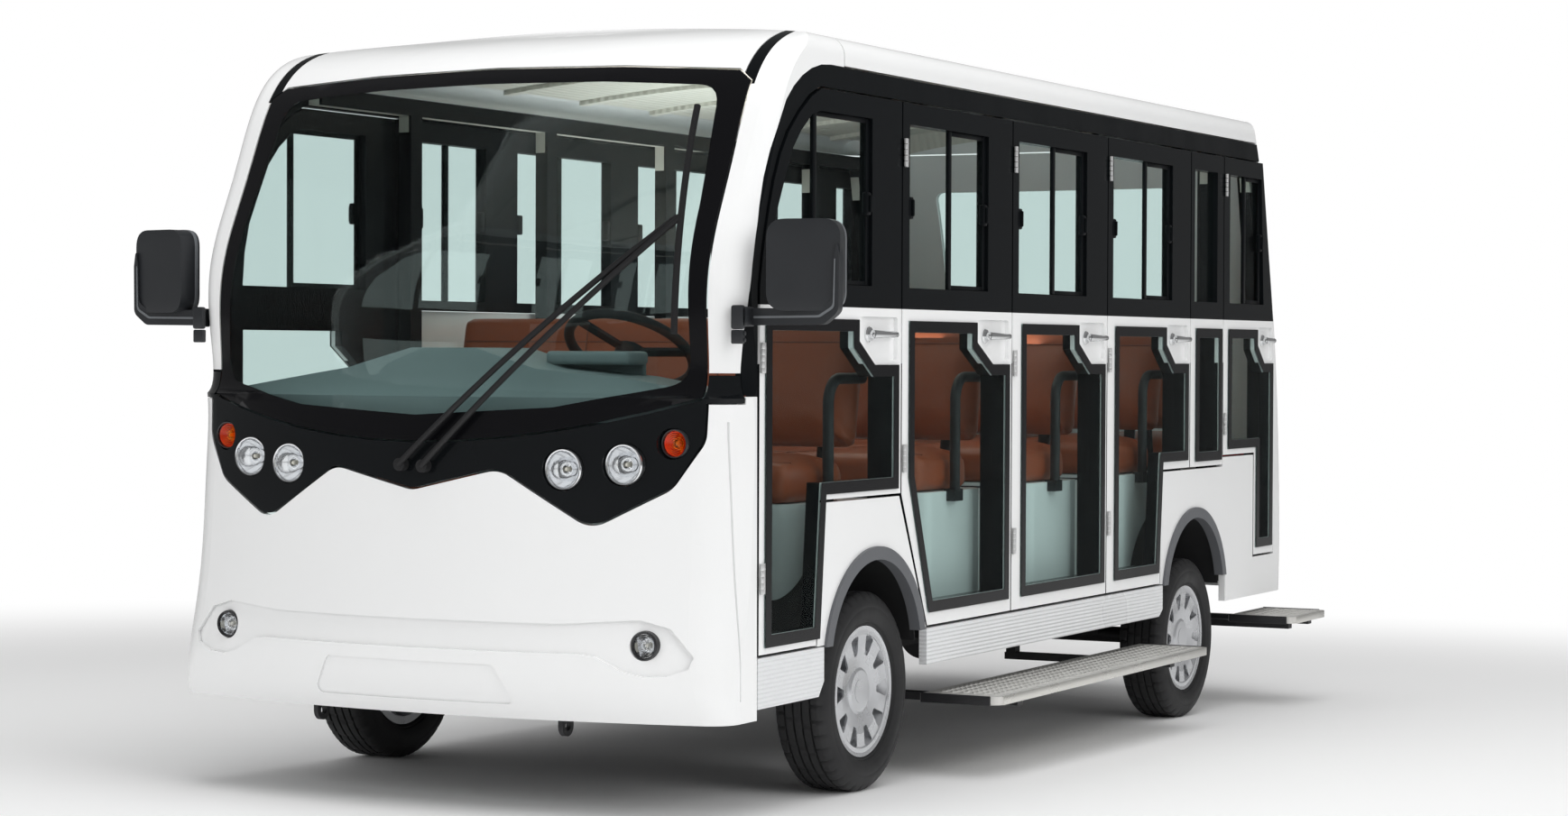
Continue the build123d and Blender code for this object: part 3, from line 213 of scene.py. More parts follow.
tone = grain.nodes.new("ShaderNodeVectorMath")
tone.operation = "SCALE"
sheen = grain.nodes.new("ShaderNodeMapRange")
set_inputs(sheen, {"From Min": 0.3, "From Max": 0.7})
bump = grain.nodes.new("ShaderNodeBump")
wire(place, "Object", patches, "Vector")
wire(place, "Object", fine, "Vector")
wire(given, "Patch Scale", patches, "Scale")
wire(given, "Grain Scale", fine, "Scale")
wire(patches, "Fac", centred, 0)
wire(centred, "Value", gain, 0)
wire(given, "Tone Spread", gain, 1)
wire(given, "Colour", tone, 0)
wire(gain, "Value", tone, "Scale")
wire(tone, "Vector", result, "Colour")
wire(patches, "Fac", sheen, "Value")
wire(given, "Smoothest", sheen, "To Min")
wire(given, "Roughest", sheen, "To Max")
wire(sheen, "Result", result, "Roughness")
wire(fine, "Fac", bump, "Height")
wire(given, "Grain Depth", bump, "Distance")
wire(bump, "Normal", result, "Normal")


def grained(name, colour, smoothest, roughest, grain_scale, grain_depth, tone_spread=0.05, patch_scale=3.0,
            metallic=0.0, coat=0.0, specular=0.5):
    """A material whose colour, gloss and surface vary by the surface_grain group."""
    made = bpy.data.materials.new(name)
    made.use_nodes = True
    nodes = made.node_tree.nodes
    shader = nodes["Principled BSDF"]
    set_inputs(shader, {"Metallic": metallic, "Coat Weight": coat, "Specular IOR Level": specular})
    effect = nodes.new("ShaderNodeGroup")
    effect.node_tree = grain
    effect.name = "grain"
    set_inputs(effect, {"Colour": (*colour, 1), "Tone Spread": tone_spread, "Patch Scale": patch_scale,
                        "Smoothest": smoothest, "Roughest": roughest, "Grain Scale": grain_scale,
                        "Grain Depth": grain_depth})
    wire(effect, "Colour", shader, "Base Color")
    wire(effect, "Roughness", shader, "Roughness")
    wire(effect, "Normal", shader, "Normal")
    return made


def dress(finish, *nodes):
    """Give CAD nodes one finish all over."""
    for name in nodes:
        mesh = frame["nodes"][name].data
        mesh.materials.clear()
        mesh.materials.append(finish)


moulded_white = (0.91, 0.915, 0.915)
gel_coat = grained("white_gel_coat", moulded_white, 0.16, 0.26, 260, 0.00012, 0.015, 1.5, coat=0.3)
dress(gel_coat, "front_cap", "front_hoops", "roof_skin", "rear_panel", "wing_panels")

# Black gloss and satin frames
# The lamp mask is gloss black, sprayed over a moulding. The window band is satin black aluminium,
# powder coated like the frames of the doors and the sides.
gloss_black = grained("gloss_black_mask", (0.006, 0.007, 0.008), 0.08, 0.16, 240, 0.0001, 0.1, 2.0,
                      specular=0.25)
frame_black = (0.005, 0.006, 0.007)
satin_black = grained("satin_black_frame", frame_black, 0.28, 0.42, 500, 0.0001, 0.15, 6.0, specular=0.08)
dress(gloss_black, "front_mask")
dress(satin_black, "window_band")

# Inner lining of the cant rails
# The side frames are satin black aluminium, lined inside with cream trim above the windows' heads.
# One material shows both: cream within a band of width and height, black everywhere else.
cream = (0.62, 0.60, 0.54)
lined_y, lined_y_reach = 0.809, 0.020
lined_z, lined_z_reach = 1.950, 0.045
frame_finish = grained("lined_side_frame", frame_black, 0.28, 0.42, 500, 0.0001, 0.15, 6.0, specular=0.08)
nodes = frame_finish.node_tree.nodes
place = nodes.new("ShaderNodeTexCoord")
sides = nodes.new("ShaderNodeSeparateXYZ")
outward = maths(frame_finish.node_tree, "ABSOLUTE")
inside = maths(frame_finish.node_tree, "COMPARE", lined_y, lined_y_reach)
high = maths(frame_finish.node_tree, "COMPARE", lined_z, lined_z_reach)
lined = maths(frame_finish.node_tree, "MULTIPLY")
pick = nodes.new("ShaderNodeMix")
pick.data_type = "RGBA"
pick.inputs["B"].default_value = (*cream, 1)
wire(place, "Object", sides, 0)
wire(sides, "Y", outward, 0)
wire(outward, "Value", inside, 0)
wire(sides, "Z", high, 0)
wire(inside, "Value", lined, 0)
wire(high, "Value", lined, 1)
wire(lined, "Value", pick, "Factor")
wire(nodes["grain"], "Colour", pick, "A")
wire(pick, "Result", nodes["Principled BSDF"], "Base Color")
dress(frame_finish, "side_frames")

# Glass
# Green-tinted safety glass, flat in the doors and windows and bent for the windscreen.
# Shadow rays and diffuse light pass straight through it, and so do most of the rays from the camera.


def tinted(name, tint, roughness=0.0, straight=0.0):
    """Glass of that tint, with the share of the camera's rays that pass it unbent."""
    made = bpy.data.materials.new(name)
    made.use_nodes = True
    nodes = made.node_tree.nodes
    shader = nodes["Principled BSDF"]
    set_inputs(shader, {"Base Color": (*tint, 1), "Roughness": roughness, "Transmission Weight": 1.0,
                        "IOR": 1.45})
    open_way = nodes.new("ShaderNodeBsdfTransparent")
    open_way.inputs["Color"].default_value = (*(math.sqrt(part) for part in tint), 1)
    path = nodes.new("ShaderNodeLightPath")
    pick = maths(made.node_tree, "MAXIMUM")
    looking = maths(made.node_tree, "MULTIPLY", straight)
    through = maths(made.node_tree, "MAXIMUM")
    blend = nodes.new("ShaderNodeMixShader")
    wire(path, "Is Shadow Ray", pick, 0)
    wire(path, "Is Diffuse Ray", pick, 1)
    wire(path, "Is Camera Ray", looking, 0)
    wire(pick, "Value", through, 0)
    wire(looking, "Value", through, 1)
    wire(through, "Value", blend, "Fac")
    wire(shader, "BSDF", blend, 1)
    wire(open_way, "BSDF", blend, 2)
    wire(blend, "Shader", nodes["Material Output"], "Surface")
    return made


pane_glass = tinted("green_tinted_glass", (0.76, 0.86, 0.845), straight=0.92)
dress(pane_glass, "windscreen", "fixed_windows", "door_right_glass",
      *(f"door_left_{number}_glass" for number in range(1, 6)))

# Doors
# White lower halves and satin black upper frames in one leaf, pressed and glazed, split at the belt line.
# The inside and the jambs are black too; only the outer skin and the handle pocket are white.
door_finish = grained("door_leaf_finish", moulded_white, 0.16, 0.26, 260, 0.00012, 0.015, 1.5)
belt_z = 1.355
pocket_low_z = 1.200
skin_low_y, skin_pocket_y = 0.8712, 0.8585
white_specular, black_specular = 0.5, 0.08
nodes = door_finish.node_tree.nodes
place = nodes.new("ShaderNodeTexCoord")
height = nodes.new("ShaderNodeVectorMath")
height.operation = "DOT_PRODUCT"
height.inputs[1].default_value = (math.sin(rake), 0, math.cos(rake))
belt_offset = math.sin(rake) * front_axle_x + (math.cos(rake) - 1) * tyre_r
above = maths(door_finish.node_tree, "GREATER_THAN", belt_z + belt_offset)
pick = nodes.new("ShaderNodeMix")
pick.data_type = "RGBA"
pick.inputs["B"].default_value = (*frame_black, 1)
wire(place, "Object", height, 0)
wire(height, "Value", above, 0)
pocket = maths(door_finish.node_tree, "GREATER_THAN", pocket_low_z + belt_offset)
skin_y = nodes.new("ShaderNodeMapRange")
set_inputs(skin_y, {"To Min": skin_low_y, "To Max": skin_pocket_y})
sides = nodes.new("ShaderNodeSeparateXYZ")
outward = maths(door_finish.node_tree, "ABSOLUTE")
inside = maths(door_finish.node_tree, "LESS_THAN")
dark = maths(door_finish.node_tree, "MAXIMUM")
wire(height, "Value", pocket, 0)
wire(pocket, "Value", skin_y, "Value")
wire(place, "Object", sides, 0)
wire(sides, "Y", outward, 0)
wire(outward, "Value", inside, 0)
wire(skin_y, "Result", inside, 1)
wire(above, "Value", dark, 0)
wire(inside, "Value", dark, 1)
wire(dark, "Value", pick, "Factor")
wire(nodes["grain"], "Colour", pick, "A")
wire(pick, "Result", nodes["Principled BSDF"], "Base Color")
shine = nodes.new("ShaderNodeMapRange")
set_inputs(shine, {"To Min": white_specular, "To Max": black_specular})
wire(dark, "Value", shine, "Value")
wire(shine, "Result", nodes["Principled BSDF"], "Specular IOR Level")
dress(door_finish, "door_right", "narrow_panel", *(f"door_left_{number}" for number in range(1, 6)))

# Trim, lamps and running gear
# The plainer finishes: grained plastic mouldings, painted and cast metal, leather, rubber and lenses.
# Pieces that are modelled again further down keep their finish here as well.
flare_grey = grained("grey_flare_plastic", (0.12, 0.125, 0.135), 0.4, 0.55, 700, 0.0002, 0.1, 5.0)
liner_black = grained("black_liner_plastic", (0.012, 0.012, 0.013), 0.6, 0.8, 400, 0.0004, 0.2, 5.0)
mirror_grey = grained("dark_mirror_plastic", (0.020, 0.022, 0.025), 0.32, 0.45, 900, 0.0001, 0.1, 8.0)
dash_grey = grained("dash_moulding", (0.16, 0.20, 0.205), 0.45, 0.6, 600, 0.0003, 0.1, 4.0)
leather = grained("tan_leather", (0.32, 0.075, 0.03), 0.32, 0.5, 350, 0.0006, 0.35, 4.0)
box_white = grained("seat_box_gel_coat", (0.80, 0.83, 0.83), 0.3, 0.4, 200, 0.0002, 0.03, 2.0)
lining_cream = grained("cream_lining", cream, 0.5, 0.65, 200, 0.0003, 0.05, 2.0)
chassis_black = grained("chassis_paint", (0.016, 0.016, 0.018), 0.4, 0.6, 120, 0.0005, 0.3, 4.0)
brushed = grained("brushed_skirt", (0.84, 0.85, 0.86), 0.25, 0.4, 90, 0.0006, 0.06, 4.0)
plate = grained("step_plate", (0.74, 0.73, 0.70), 0.3, 0.45, 120, 0.0008, 0.15, 6.0, metallic=0.45)
silver = grained("silver_wheel_paint", (0.62, 0.63, 0.65), 0.22, 0.32, 400, 0.0001, 0.06, 8.0,
                 metallic=0.7, coat=0.3)
rubber = grained("tyre_rubber", (0.018, 0.018, 0.019), 0.55, 0.75, 500, 0.0004, 0.3, 9.0)
amber = grained("amber_lens", (0.9, 0.17, 0.01), 0.1, 0.2, 200, 0.0002, 0.1, 20.0, coat=0.5)
red_lens = grained("red_lens", (0.5, 0.01, 0.01), 0.1, 0.2, 200, 0.0002, 0.1, 20.0, coat=0.5)
# lighter grey of the mirror rims; on the arms' creases the same grey is a painted highlight
rim_grey_and_crease_highlight = grained("mirror_rim_and_crease_highlight", (0.14, 0.15, 0.16), 0.3, 0.4, 700, 0.0001, 0.1, 8.0)
chrome = grained("chrome_reflector", (0.85, 0.86, 0.88), 0.05, 0.12, 200, 0.0001, 0.02, 8.0, metallic=1.0)
dress(flare_grey, "arch_flares")
dress(liner_black, "arch_liners", "battery_pack", "wipers", "steering_wheel")
dress(mirror_grey, "door_mirrors")
dress(dash_grey, "dashboard")
dress(leather, "seat_cushions", "seat_backs")
dress(box_white, "seat_boxes")
dress(lining_cream, "roof_lining")
dress(chassis_black, "chassis_frame", "floor_pan", "grab_rails", "step_arms", "front_axle", "rear_axle",
      "leaf_springs", "knuckle_left", "knuckle_right", "tie_rod")
dress(brushed, "skirt_strips")
dress(plate, "step_plates")
dress(amber, "turn_lamps")
dress(red_lens, "tail_lamps")
dress(chrome, "head_lamps")
for corner in ("front_left", "front_right", "rear_left", "rear_right"):
    dress(silver, f"wheel_{corner}")
    dress(rubber, f"tyre_{corner}")

# Bonded lower panes
# Each lower pane is glued on the outside of its frame, over a fired black border that hides the glue.
# The border is the pane's own outer face, inset all round and thickened by a hair.
frit_black = grained("fired_black_border", (0.004, 0.004, 0.005), 0.12, 0.22, 300, 0.00005, 0.1, 4.0,
                     specular=0.2)


def pick_only(piece):
    """Make one object the only selected and active one."""
    bpy.ops.object.select_all(action="DESELECT")
    piece.select_set(True)
    bpy.context.view_layer.objects.active = piece


def apply_modifiers(piece):
    """Apply every modifier of a piece in turn."""
    pick_only(piece)
    for modifier in list(piece.modifiers):
        bpy.ops.object.modifier_apply(modifier=modifier.name)


def edit_mesh(piece, *steps):
    """Run mesh operators on a piece in turn, each with its options and on the whole mesh."""
    pick_only(piece)
    bpy.ops.object.mode_set(mode="EDIT")
    for step, options in steps:
        bpy.ops.mesh.select_all(action="SELECT")
        step(**options)
    bpy.ops.object.mode_set(mode="OBJECT")


def finish_piece(piece, finish, body, place=raked, sharp=35):
    """Apply a piece's modifiers, put its place into its mesh, finish it and let it ride."""
    apply_modifiers(piece)
    piece.data.transform(place @ piece.matrix_basis)
    piece.matrix_basis = Matrix()
    piece.data.materials.clear()
    piece.data.materials.append(finish)
    bpy.ops.object.shade_smooth_by_angle(angle=math.radians(sharp))
    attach(piece, body)
    return piece


def merged_copy(node, name):
    """A copy of a CAD node's mesh as an object of its own, its loose triangles merged."""
    copy = new_object(name, frame["nodes"][node].data.copy())
    copy.data.transform(frame["nodes"][node].matrix_world)
    edit_mesh(copy, (bpy.ops.mesh.remove_doubles, {"threshold": 0.00002}),
              (bpy.ops.mesh.dissolve_limited, {"angle_limit": math.radians(0.5)}))
    return copy


def keep_faces(piece, keep):
    """Delete every face that keep(centre, normal) refuses."""
    pick_only(piece)
    bpy.ops.object.mode_set(mode="EDIT")
    bpy.ops.mesh.select_mode(type="FACE")
    bpy.ops.mesh.select_all(action="DESELECT")
    bpy.ops.object.mode_set(mode="OBJECT")
    for face in piece.data.polygons:
        face.select = not keep(face.center, face.normal)
    bpy.ops.object.mode_set(mode="EDIT")
    bpy.ops.mesh.delete(type="FACE")
    bpy.ops.object.mode_set(mode="OBJECT")


pane_face_y = 0.8765
border_w = 0.033
border_t = 0.0006
paned = [(f"door_left_{number}_glass", f"left_door_{number}") for number in range(1, 6)]
for node, body in paned + [("door_right_glass", "right_door"), ("fixed_windows", "bus_body")]:
    border = merged_copy(node, f"{node}_border")
    keep_faces(border, lambda centre, normal: abs(centre.y) > pane_face_y and abs(normal.y) > 0.9)
    bpy.ops.object.mode_set(mode="EDIT")
    bpy.ops.mesh.select_all(action="SELECT")
    bpy.ops.mesh.inset(thickness=border_w, depth=0, use_boundary=True)
    bpy.ops.mesh.delete(type="FACE")
    bpy.ops.object.mode_set(mode="OBJECT")
    shell = border.modifiers.new("thickness", "SOLIDIFY")
    shell.thickness = border_t
    shell.offset = 1
    finish_piece(border, frit_black, body, Matrix())

# Windscreen border
# The curved screen has the same fired border, wide at its foot, with rounded corners.
# A flat frame cuts it out of a copy of the screen, which is then swollen by a hair.
most_of_edge = 0.48


def rounded(points, radius, steps=5):
    """A closed outline with its corners rounded, as far as its edges leave room."""
    smooth = []
    for before, here, after in zip(points[-1:] + points[:-1], points, points[1:] + points[:1]):
        here = Vector(here)
        way_in, way_out = Vector(before) - here, Vector(after) - here
        half_angle = way_in.angle(way_out) / 2
        reach = min(radius / math.tan(half_angle), min(way_in.length, way_out.length) * most_of_edge)
        start, end = here + way_in.normalized() * reach, here + way_out.normalized() * reach
        for step in range(steps + 1):
            t = step / steps
            smooth.append(start * (1 - t) ** 2 + here * 2 * t * (1 - t) + end * t ** 2)
    return smooth


def flat_piece(name, loops, thickness):
    """A flat plate in the XY plane, between an outline and its holes, as a mesh."""
    curve = bpy.data.curves.new(name, "CURVE")
    curve.dimensions = "2D"
    curve.fill_mode = "BOTH"
    curve.extrude = thickness / 2
    for loop in loops:
        spline = curve.splines.new("POLY")
        spline.points.add(len(loop) - 1)
        for point, (u, v) in zip(spline.points, loop):
            point.co = (u, v, 0, 1)
        spline.use_cyclic_u = True
    pick_only(new_object(name, curve))
    bpy.ops.object.convert(target="MESH")
    piece = bpy.context.object
    edit_mesh(piece, (bpy.ops.mesh.remove_doubles, {"threshold": 0.00001}),
              (bpy.ops.mesh.normals_make_consistent, {"inside": False}))
    return piece


seen_from_front = Matrix(((0, 0, 1, 0), (1, 0, 0, 0), (0, 1, 0, 0), (0, 0, 0, 1)))
beyond_screen = [(-1.2, 0.8), (1.2, 0.8), (1.2, 2.3), (-1.2, 2.3)]


def cut_out_of(node, name, opening, swell):
    """The part of a curved pane outside an opening given as (y, z) points, swollen by a hair."""
    border = merged_copy(node, name)
    cutter = flat_piece(name + "_frame", [beyond_screen, opening], 6.0)
    cutter.data.transform(raked @ seen_from_front)
    cut = border.modifiers.new("cut", "BOOLEAN")
    cut.operation = "INTERSECT"
    cut.object = cutter
    cut.solver = "EXACT"
    apply_modifiers(border)
    bpy.data.objects.remove(cutter)
    puff = border.modifiers.new("swell", "DISPLACE")
    puff.strength = swell
    puff.mid_level = 0
    finish_piece(border, frit_black, "bus_body", Matrix(), 25)


screen_inner = [(-0.738, 1.150), (-0.4, 1.085), (0, 1.062), (0.4, 1.085), (0.738, 1.150), (0.724, 1.62),
                (0.700, 1.938), (0.36, 1.957), (0, 1.962), (-0.36, 1.957), (-0.700, 1.938), (-0.724, 1.62)]
cut_out_of("windscreen", "windscreen_border", rounded(screen_inner, 0.07), 0.0005)

# Upper window fittings
# Each upper window slides in two sashes: an upright bar, a sash edge and two black finger latches.
# They are small satin black extrusions with rounded edges, set on the outside of the glass.


def bevelled(piece, width, segments=2, angle=30):
    """Round those edges of a piece that turn by more than an angle in degrees."""
    bevel = piece.modifiers.new("edge", "BEVEL")
    bevel.width = width
    bevel.segments = segments
    bevel.limit_method = "ANGLE"
    bevel.angle_limit = math.radians(angle)
    apply_modifiers(piece)


def bar(name, low, high, edge, segments=2):
    """A cube between two corners, in body coordinates, with its edges rounded."""
    bpy.ops.object.select_all(action="DESELECT")
    centre = [(a + b) / 2 for a, b in zip(low, high)]
    bpy.ops.mesh.primitive_cube_add(size=1, location=centre)
    piece = bpy.context.object
    piece.name = name
    piece.data.transform(Matrix.Diagonal([abs(b - a) for a, b in zip(low, high)] + [1]))
    bevelled(piece, edge, segments)
    bpy.ops.object.transform_apply(location=True, rotation=True, scale=True)
    return piece


def join(name, pieces):
    """Several pieces as one mesh."""
    bpy.ops.object.select_all(action="DESELECT")
    for piece in pieces:
        piece.select_set(True)
    bpy.context.view_layer.objects.active = pieces[0]
    bpy.ops.object.join()
    joined = bpy.context.object
    joined.name = name
    return joined


def flipped(piece, name, keep=True):
    """A copy of a piece on the other side of the bus, its normals turned back outwards."""
    copy = new_object(name, piece.data.copy())
    copy.data.transform(Matrix.Diagonal((1, -1, 1, 1)))
    edit_mesh(copy, (bpy.ops.mesh.flip_normals, {}))
    if not keep:
        bpy.data.objects.remove(piece)
    return copy


glass_y = 0.8545
sash_low, sash_high = 1.416, 1.882
# Each window: body, front x, rear x, x of the bar, whether latches stand at both ends
sash_table = [("left_door_1", 0.640, 0.030, 0.375, False), ("left_door_2", -0.216, -0.776, -0.508, True),
              ("left_door_3", -1.011, -1.571, -1.305, True), ("left_door_4", -1.806, -2.366, -2.121, True),
              ("left_door_5", -2.963, -3.330, -3.140, False)]
latch_z = 1.645
# A latch's block and its pull: half its length, half its height, nearest and farthest y, rounding
latch_parts = [(0.014, 0.032, 0.001, 0.018, 0.005), (0.004, 0.024, 0.016, 0.026, 0.003)]
for body, front_x, rear_x, bar_x, both in sash_table:
    # The upright bar, the sash's rear edge, its foot and its head
    sash_parts = [(bar_x - 0.011, bar_x + 0.011, sash_low, sash_high, 0.012, 0.003),
                  (rear_x, rear_x + 0.022, sash_low, sash_high, 0.008, 0.002),
                  (rear_x, bar_x, sash_low, sash_low + 0.014, 0.007, 0.002),
                  (rear_x, bar_x, sash_high - 0.014, sash_high, 0.007, 0.002)]
    shapes = [bar("sash", (x0, glass_y + 0.0005, z0), (x1, glass_y + proud, z1), edge)
              for x0, x1, z0, z1, proud, edge in sash_parts]
    for latch_x in (front_x - 0.014, rear_x + 0.020) if both else (rear_x + 0.020,):
        for half_x, half_z, near, far, edge in latch_parts:
            shapes.append(bar("latch", (latch_x - half_x, glass_y + near, latch_z - half_z),
                              (latch_x + half_x, glass_y + far, latch_z + half_z), edge, 3))
    fittings = join(f"{body}_sash", shapes)
    if body == "left_door_1":
        finish_piece(flipped(fittings, "right_door_sash"), satin_black, "right_door")
    finish_piece(fittings, satin_black, body)
right_windows = [(-0.248, -0.640), (-0.830, -1.434), (-1.620, -2.224), (-2.410, -3.014)]
right_sash_low = 1.388
shapes = []
for window_front, window_rear in right_windows:
    middle = (window_front + window_rear) / 2
    shapes.append(bar("bar", (middle - 0.014, -glass_y - 0.012, right_sash_low),
                      (middle + 0.014, -glass_y - 0.0005, sash_high), 0.003))
    for latch_x in (window_front - 0.02, window_rear + 0.02):
        shapes.append(bar("latch", (latch_x - 0.014, -0.8485, latch_z - 0.032),
                          (latch_x + 0.014, -0.831, latch_z + 0.032), 0.005, 3))
finish_piece(join("right_sashes", shapes), satin_black, "bus_body")

# Door hinges and levers
# Pressed steel butt hinges with two screws to a leaf and five knuckles, screwed to the jamb.
# The levers are cast and chromed, and turn on round roses in the handle pockets.
steel = grained("hinge_steel", (0.66, 0.66, 0.66), 0.25, 0.4, 300, 0.0002, 0.1, 20.0, metallic=0.5)
bright = grained("lever_chrome", (0.78, 0.79, 0.80), 0.08, 0.16, 200, 0.0001, 0.04, 20.0, metallic=1.0)


def rod(name, start, end, radius, end_radius=None, sides=24):
    """A round bar between two points, tapered where the ends differ."""
    bpy.ops.object.select_all(action="DESELECT")
    axis = Vector(end) - Vector(start)
    bpy.ops.mesh.primitive_cone_add(vertices=sides, radius1=radius, radius2=end_radius or radius,
                                    depth=axis.length)
    piece = bpy.context.object
    piece.name = name
    turn = axis.to_track_quat("Z", "Y").to_matrix().to_4x4()
    piece.data.transform(Matrix.Translation((Vector(start) + Vector(end)) / 2) @ turn)
    bevelled(piece, min(radius, end_radius or radius) * 0.3)
    return piece


door_front = {1: 0.703, 2: -0.166, 3: -0.961, 4: -1.756, 5: -2.897}
door_rear = {1: -0.166, 2: -0.961, 3: -1.756, 4: -2.551, 5: -3.474}
hinge_rows = {1: (0.640, 1.216), 2: (0.930, 1.800), 3: (0.654, 1.200, 1.825), 4: (0.671, 1.210, 1.840),
              5: (0.978, 1.842)}
leaf_half_h = 0.0405
screw_x, pin_x = 0.0235, 0.006
knuckle_count = 5
knuckle_pitch = 2 * leaf_half_h / knuckle_count
knuckle_gap = 0.0004
pocket_end = {1: 0.284, 2: 0.273, 3: 0.257, 4: 0.249, 5: 0.206}
side_y = 0.872
lever_z = 1.282
for number, heights in hinge_rows.items():
    front, rear = door_front[number], door_rear[number]
    shapes = []
    for z in heights:
        shapes.append(bar("leaf", (front - 0.0305, side_y + 0.002, z - leaf_half_h),
                          (front - 0.0075, side_y + 0.0056, z + leaf_half_h), 0.001))
        for dz in (-0.026, 0.026):
            shapes.append(rod("screw", (front - screw_x, side_y + 0.005, z + dz),
                              (front - screw_x, side_y + 0.0075, z + dz), 0.0042))
        for count in range(knuckle_count):
            low = z - leaf_half_h + count * knuckle_pitch
            shapes.append(rod("knuckle", (front - pin_x, side_y + 0.008, low + knuckle_gap),
                              (front - pin_x, side_y + 0.008, low + knuckle_pitch - knuckle_gap), 0.0056))
    hinges = join(f"door_{number}_hinges", shapes)
    rose_x = rear + pocket_end[number] - 0.086
    length = min(0.150, rose_x - rear - 0.025)
    shapes = [rod("rose", (rose_x, side_y - 0.012, lever_z), (rose_x, side_y - 0.001, lever_z),
                  0.0235, 0.021, 40),
              rod("collar", (rose_x, side_y - 0.003, lever_z), (rose_x, side_y + 0.016, lever_z),
                  0.0125, 0.011),
              rod("grip", (rose_x + 0.010, side_y + 0.010, lever_z),
                  (rose_x + 0.008 - length, side_y + 0.0105, lever_z), 0.0125, 0.0088)]
    lever = join(f"door_{number}_lever", shapes)
    if number == 1:
        finish_piece(flipped(hinges, "right_door_hinges"), steel, "right_door")
        finish_piece(flipped(lever, "right_door_lever"), bright, "right_door")
    finish_piece(hinges, steel, f"left_door_{number}")
    finish_piece(lever, bright, f"left_door_{number}")

# Lamps
# Pressed bowls behind moulded lenses, each with a bulb on a small inner ring. The head lamps have chromed
# rims and plain lenses; the fog and turn lamps have dark bezels and ribbed lenses, amber on the turn lamps.
bezel_black = grained("lamp_bezel", (0.02, 0.02, 0.022), 0.2, 0.3, 300, 0.0001, 0.1, 9.0)
lens_clear = tinted("clear_lens", (0.96, 0.97, 0.97), 0.02)
lens_amber = tinted("amber_turn_lens", (1.0, 0.36, 0.04), 0.08)
bulb_glass = grained("bulb_glass", (0.75, 0.72, 0.62), 0.1, 0.15, 100, 0.0001, 0.02, 9.0)
turned_forward = Matrix.Rotation(math.pi / 2, 4, "Y")
lens_t = 0.0035
lens_ribs = 6


def turned(name, profile, steps=48):
    """A profile of (radius, height) points spun about Z."""
    curve = bpy.data.curves.new(name, "CURVE")
    curve.dimensions = "3D"
    spline = curve.splines.new("POLY")
    spline.points.add(len(profile) - 1)
    for point, (radius, height) in zip(spline.points, profile):
        point.co = (radius, 0, height, 1)
    spline.use_cyclic_u = True
    pick_only(new_object(name, curve))
    bpy.ops.object.convert(target="MESH")
    piece = bpy.context.object
    round_z = {"steps": steps, "angle": 2 * math.pi, "center": (0, 0, 0), "axis": (0, 0, 1)}
    edit_mesh(piece, (bpy.ops.mesh.spin, round_z), (bpy.ops.mesh.remove_doubles, {"threshold": 0.00002}),
              (bpy.ops.mesh.normals_make_consistent, {"inside": False}))
    return piece


def placed_copies(piece, name, spots):
    """Copies of a turned piece at several places in body coordinates, facing forward, joined into one."""
    copies = []
    for number, spot in enumerate(spots):
        copies.append(new_object(f"{name}_{number}", piece.data.copy()))
        copies[-1].data.transform(Matrix.Translation(spot) @ turned_forward)
    bpy.data.objects.remove(piece)
    return join(name, copies)


# Distance from the centre line, height, front of the lens and radius
lamp_table = {"head": [(0.434, 0.925, 0.962, 0.055), (0.592, 0.939, 0.922, 0.055)],
              "fog": [(0.661, 0.475, 0.934, 0.038)],
              "turn": [(0.712, 0.994, 0.868, 0.040)]}
for kind, rows in lamp_table.items():
    r = rows[0][3]
    spots = [(x, side * y, z) for y, z, x, _ in rows for side in (-1, 1)]
    node = "turn_lamps" if kind == "turn" else "head_lamps"
    rim = turned("rim", [(r - 0.0068, -0.010), (r - 0.006, -0.001), (r - 0.003, 0.0), (r - 0.0008, -0.003),
                         (r, -0.008), (r, -0.059), (r - 0.004, -0.059), (r - 0.004, -0.012)])
    bowl = turned("bowl", [(r - 0.005, -0.009)] + [(0.009 + (r - 0.015) * t, -0.048 + 0.036 * t * t)
                                                   for t in (0.95, 0.8, 0.6, 0.4, 0.2, 0)]
                  + [(0.009, -0.054), (r - 0.02, -0.052), (r - 0.0045, -0.020)])
    inner = turned("inner", [(0.013, -0.047), (0.014, -0.026), (0.0165, -0.0255), (0.0175, -0.047)], steps=32)
    bulb = turned("bulb", [(0.0, -0.018), (0.004, -0.0195), (0.0065, -0.024), (0.0065, -0.048),
                           (0.0, -0.048)], steps=24)
    if kind == "head":
        crown = [(0.0, -0.0012), (r * 0.45, -0.0024), (r - 0.0095, -0.0052), (r - 0.006, -0.0085)]
    else:
        crown = [(0.0, -0.0012)]
        for rib in range(1, lens_ribs + 1):
            radius = (r - 0.008) * rib / lens_ribs
            fall = 0.003 * (rib / lens_ribs) ** 2
            crown += [(radius - 0.0035, -0.0034 - fall), (radius, -0.0016 - fall)]
        crown.append((r - 0.006, -0.0085))
    lens = turned("lens", crown + [(radius, height - lens_t) for radius, height in reversed(crown)])
    for label, piece, finish in (("rims", rim, chrome if kind == "head" else bezel_black),
                                 ("bowls", bowl, amber if kind == "turn" else chrome),
                                 ("rings", inner, chrome), ("bulbs", bulb, bulb_glass),
                                 ("lenses", lens, lens_amber if kind == "turn" else lens_clear)):
        whole = finish_piece(placed_copies(piece, f"{kind}_lamp_{label}", spots), finish,
                             "bus_body")
        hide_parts(node)
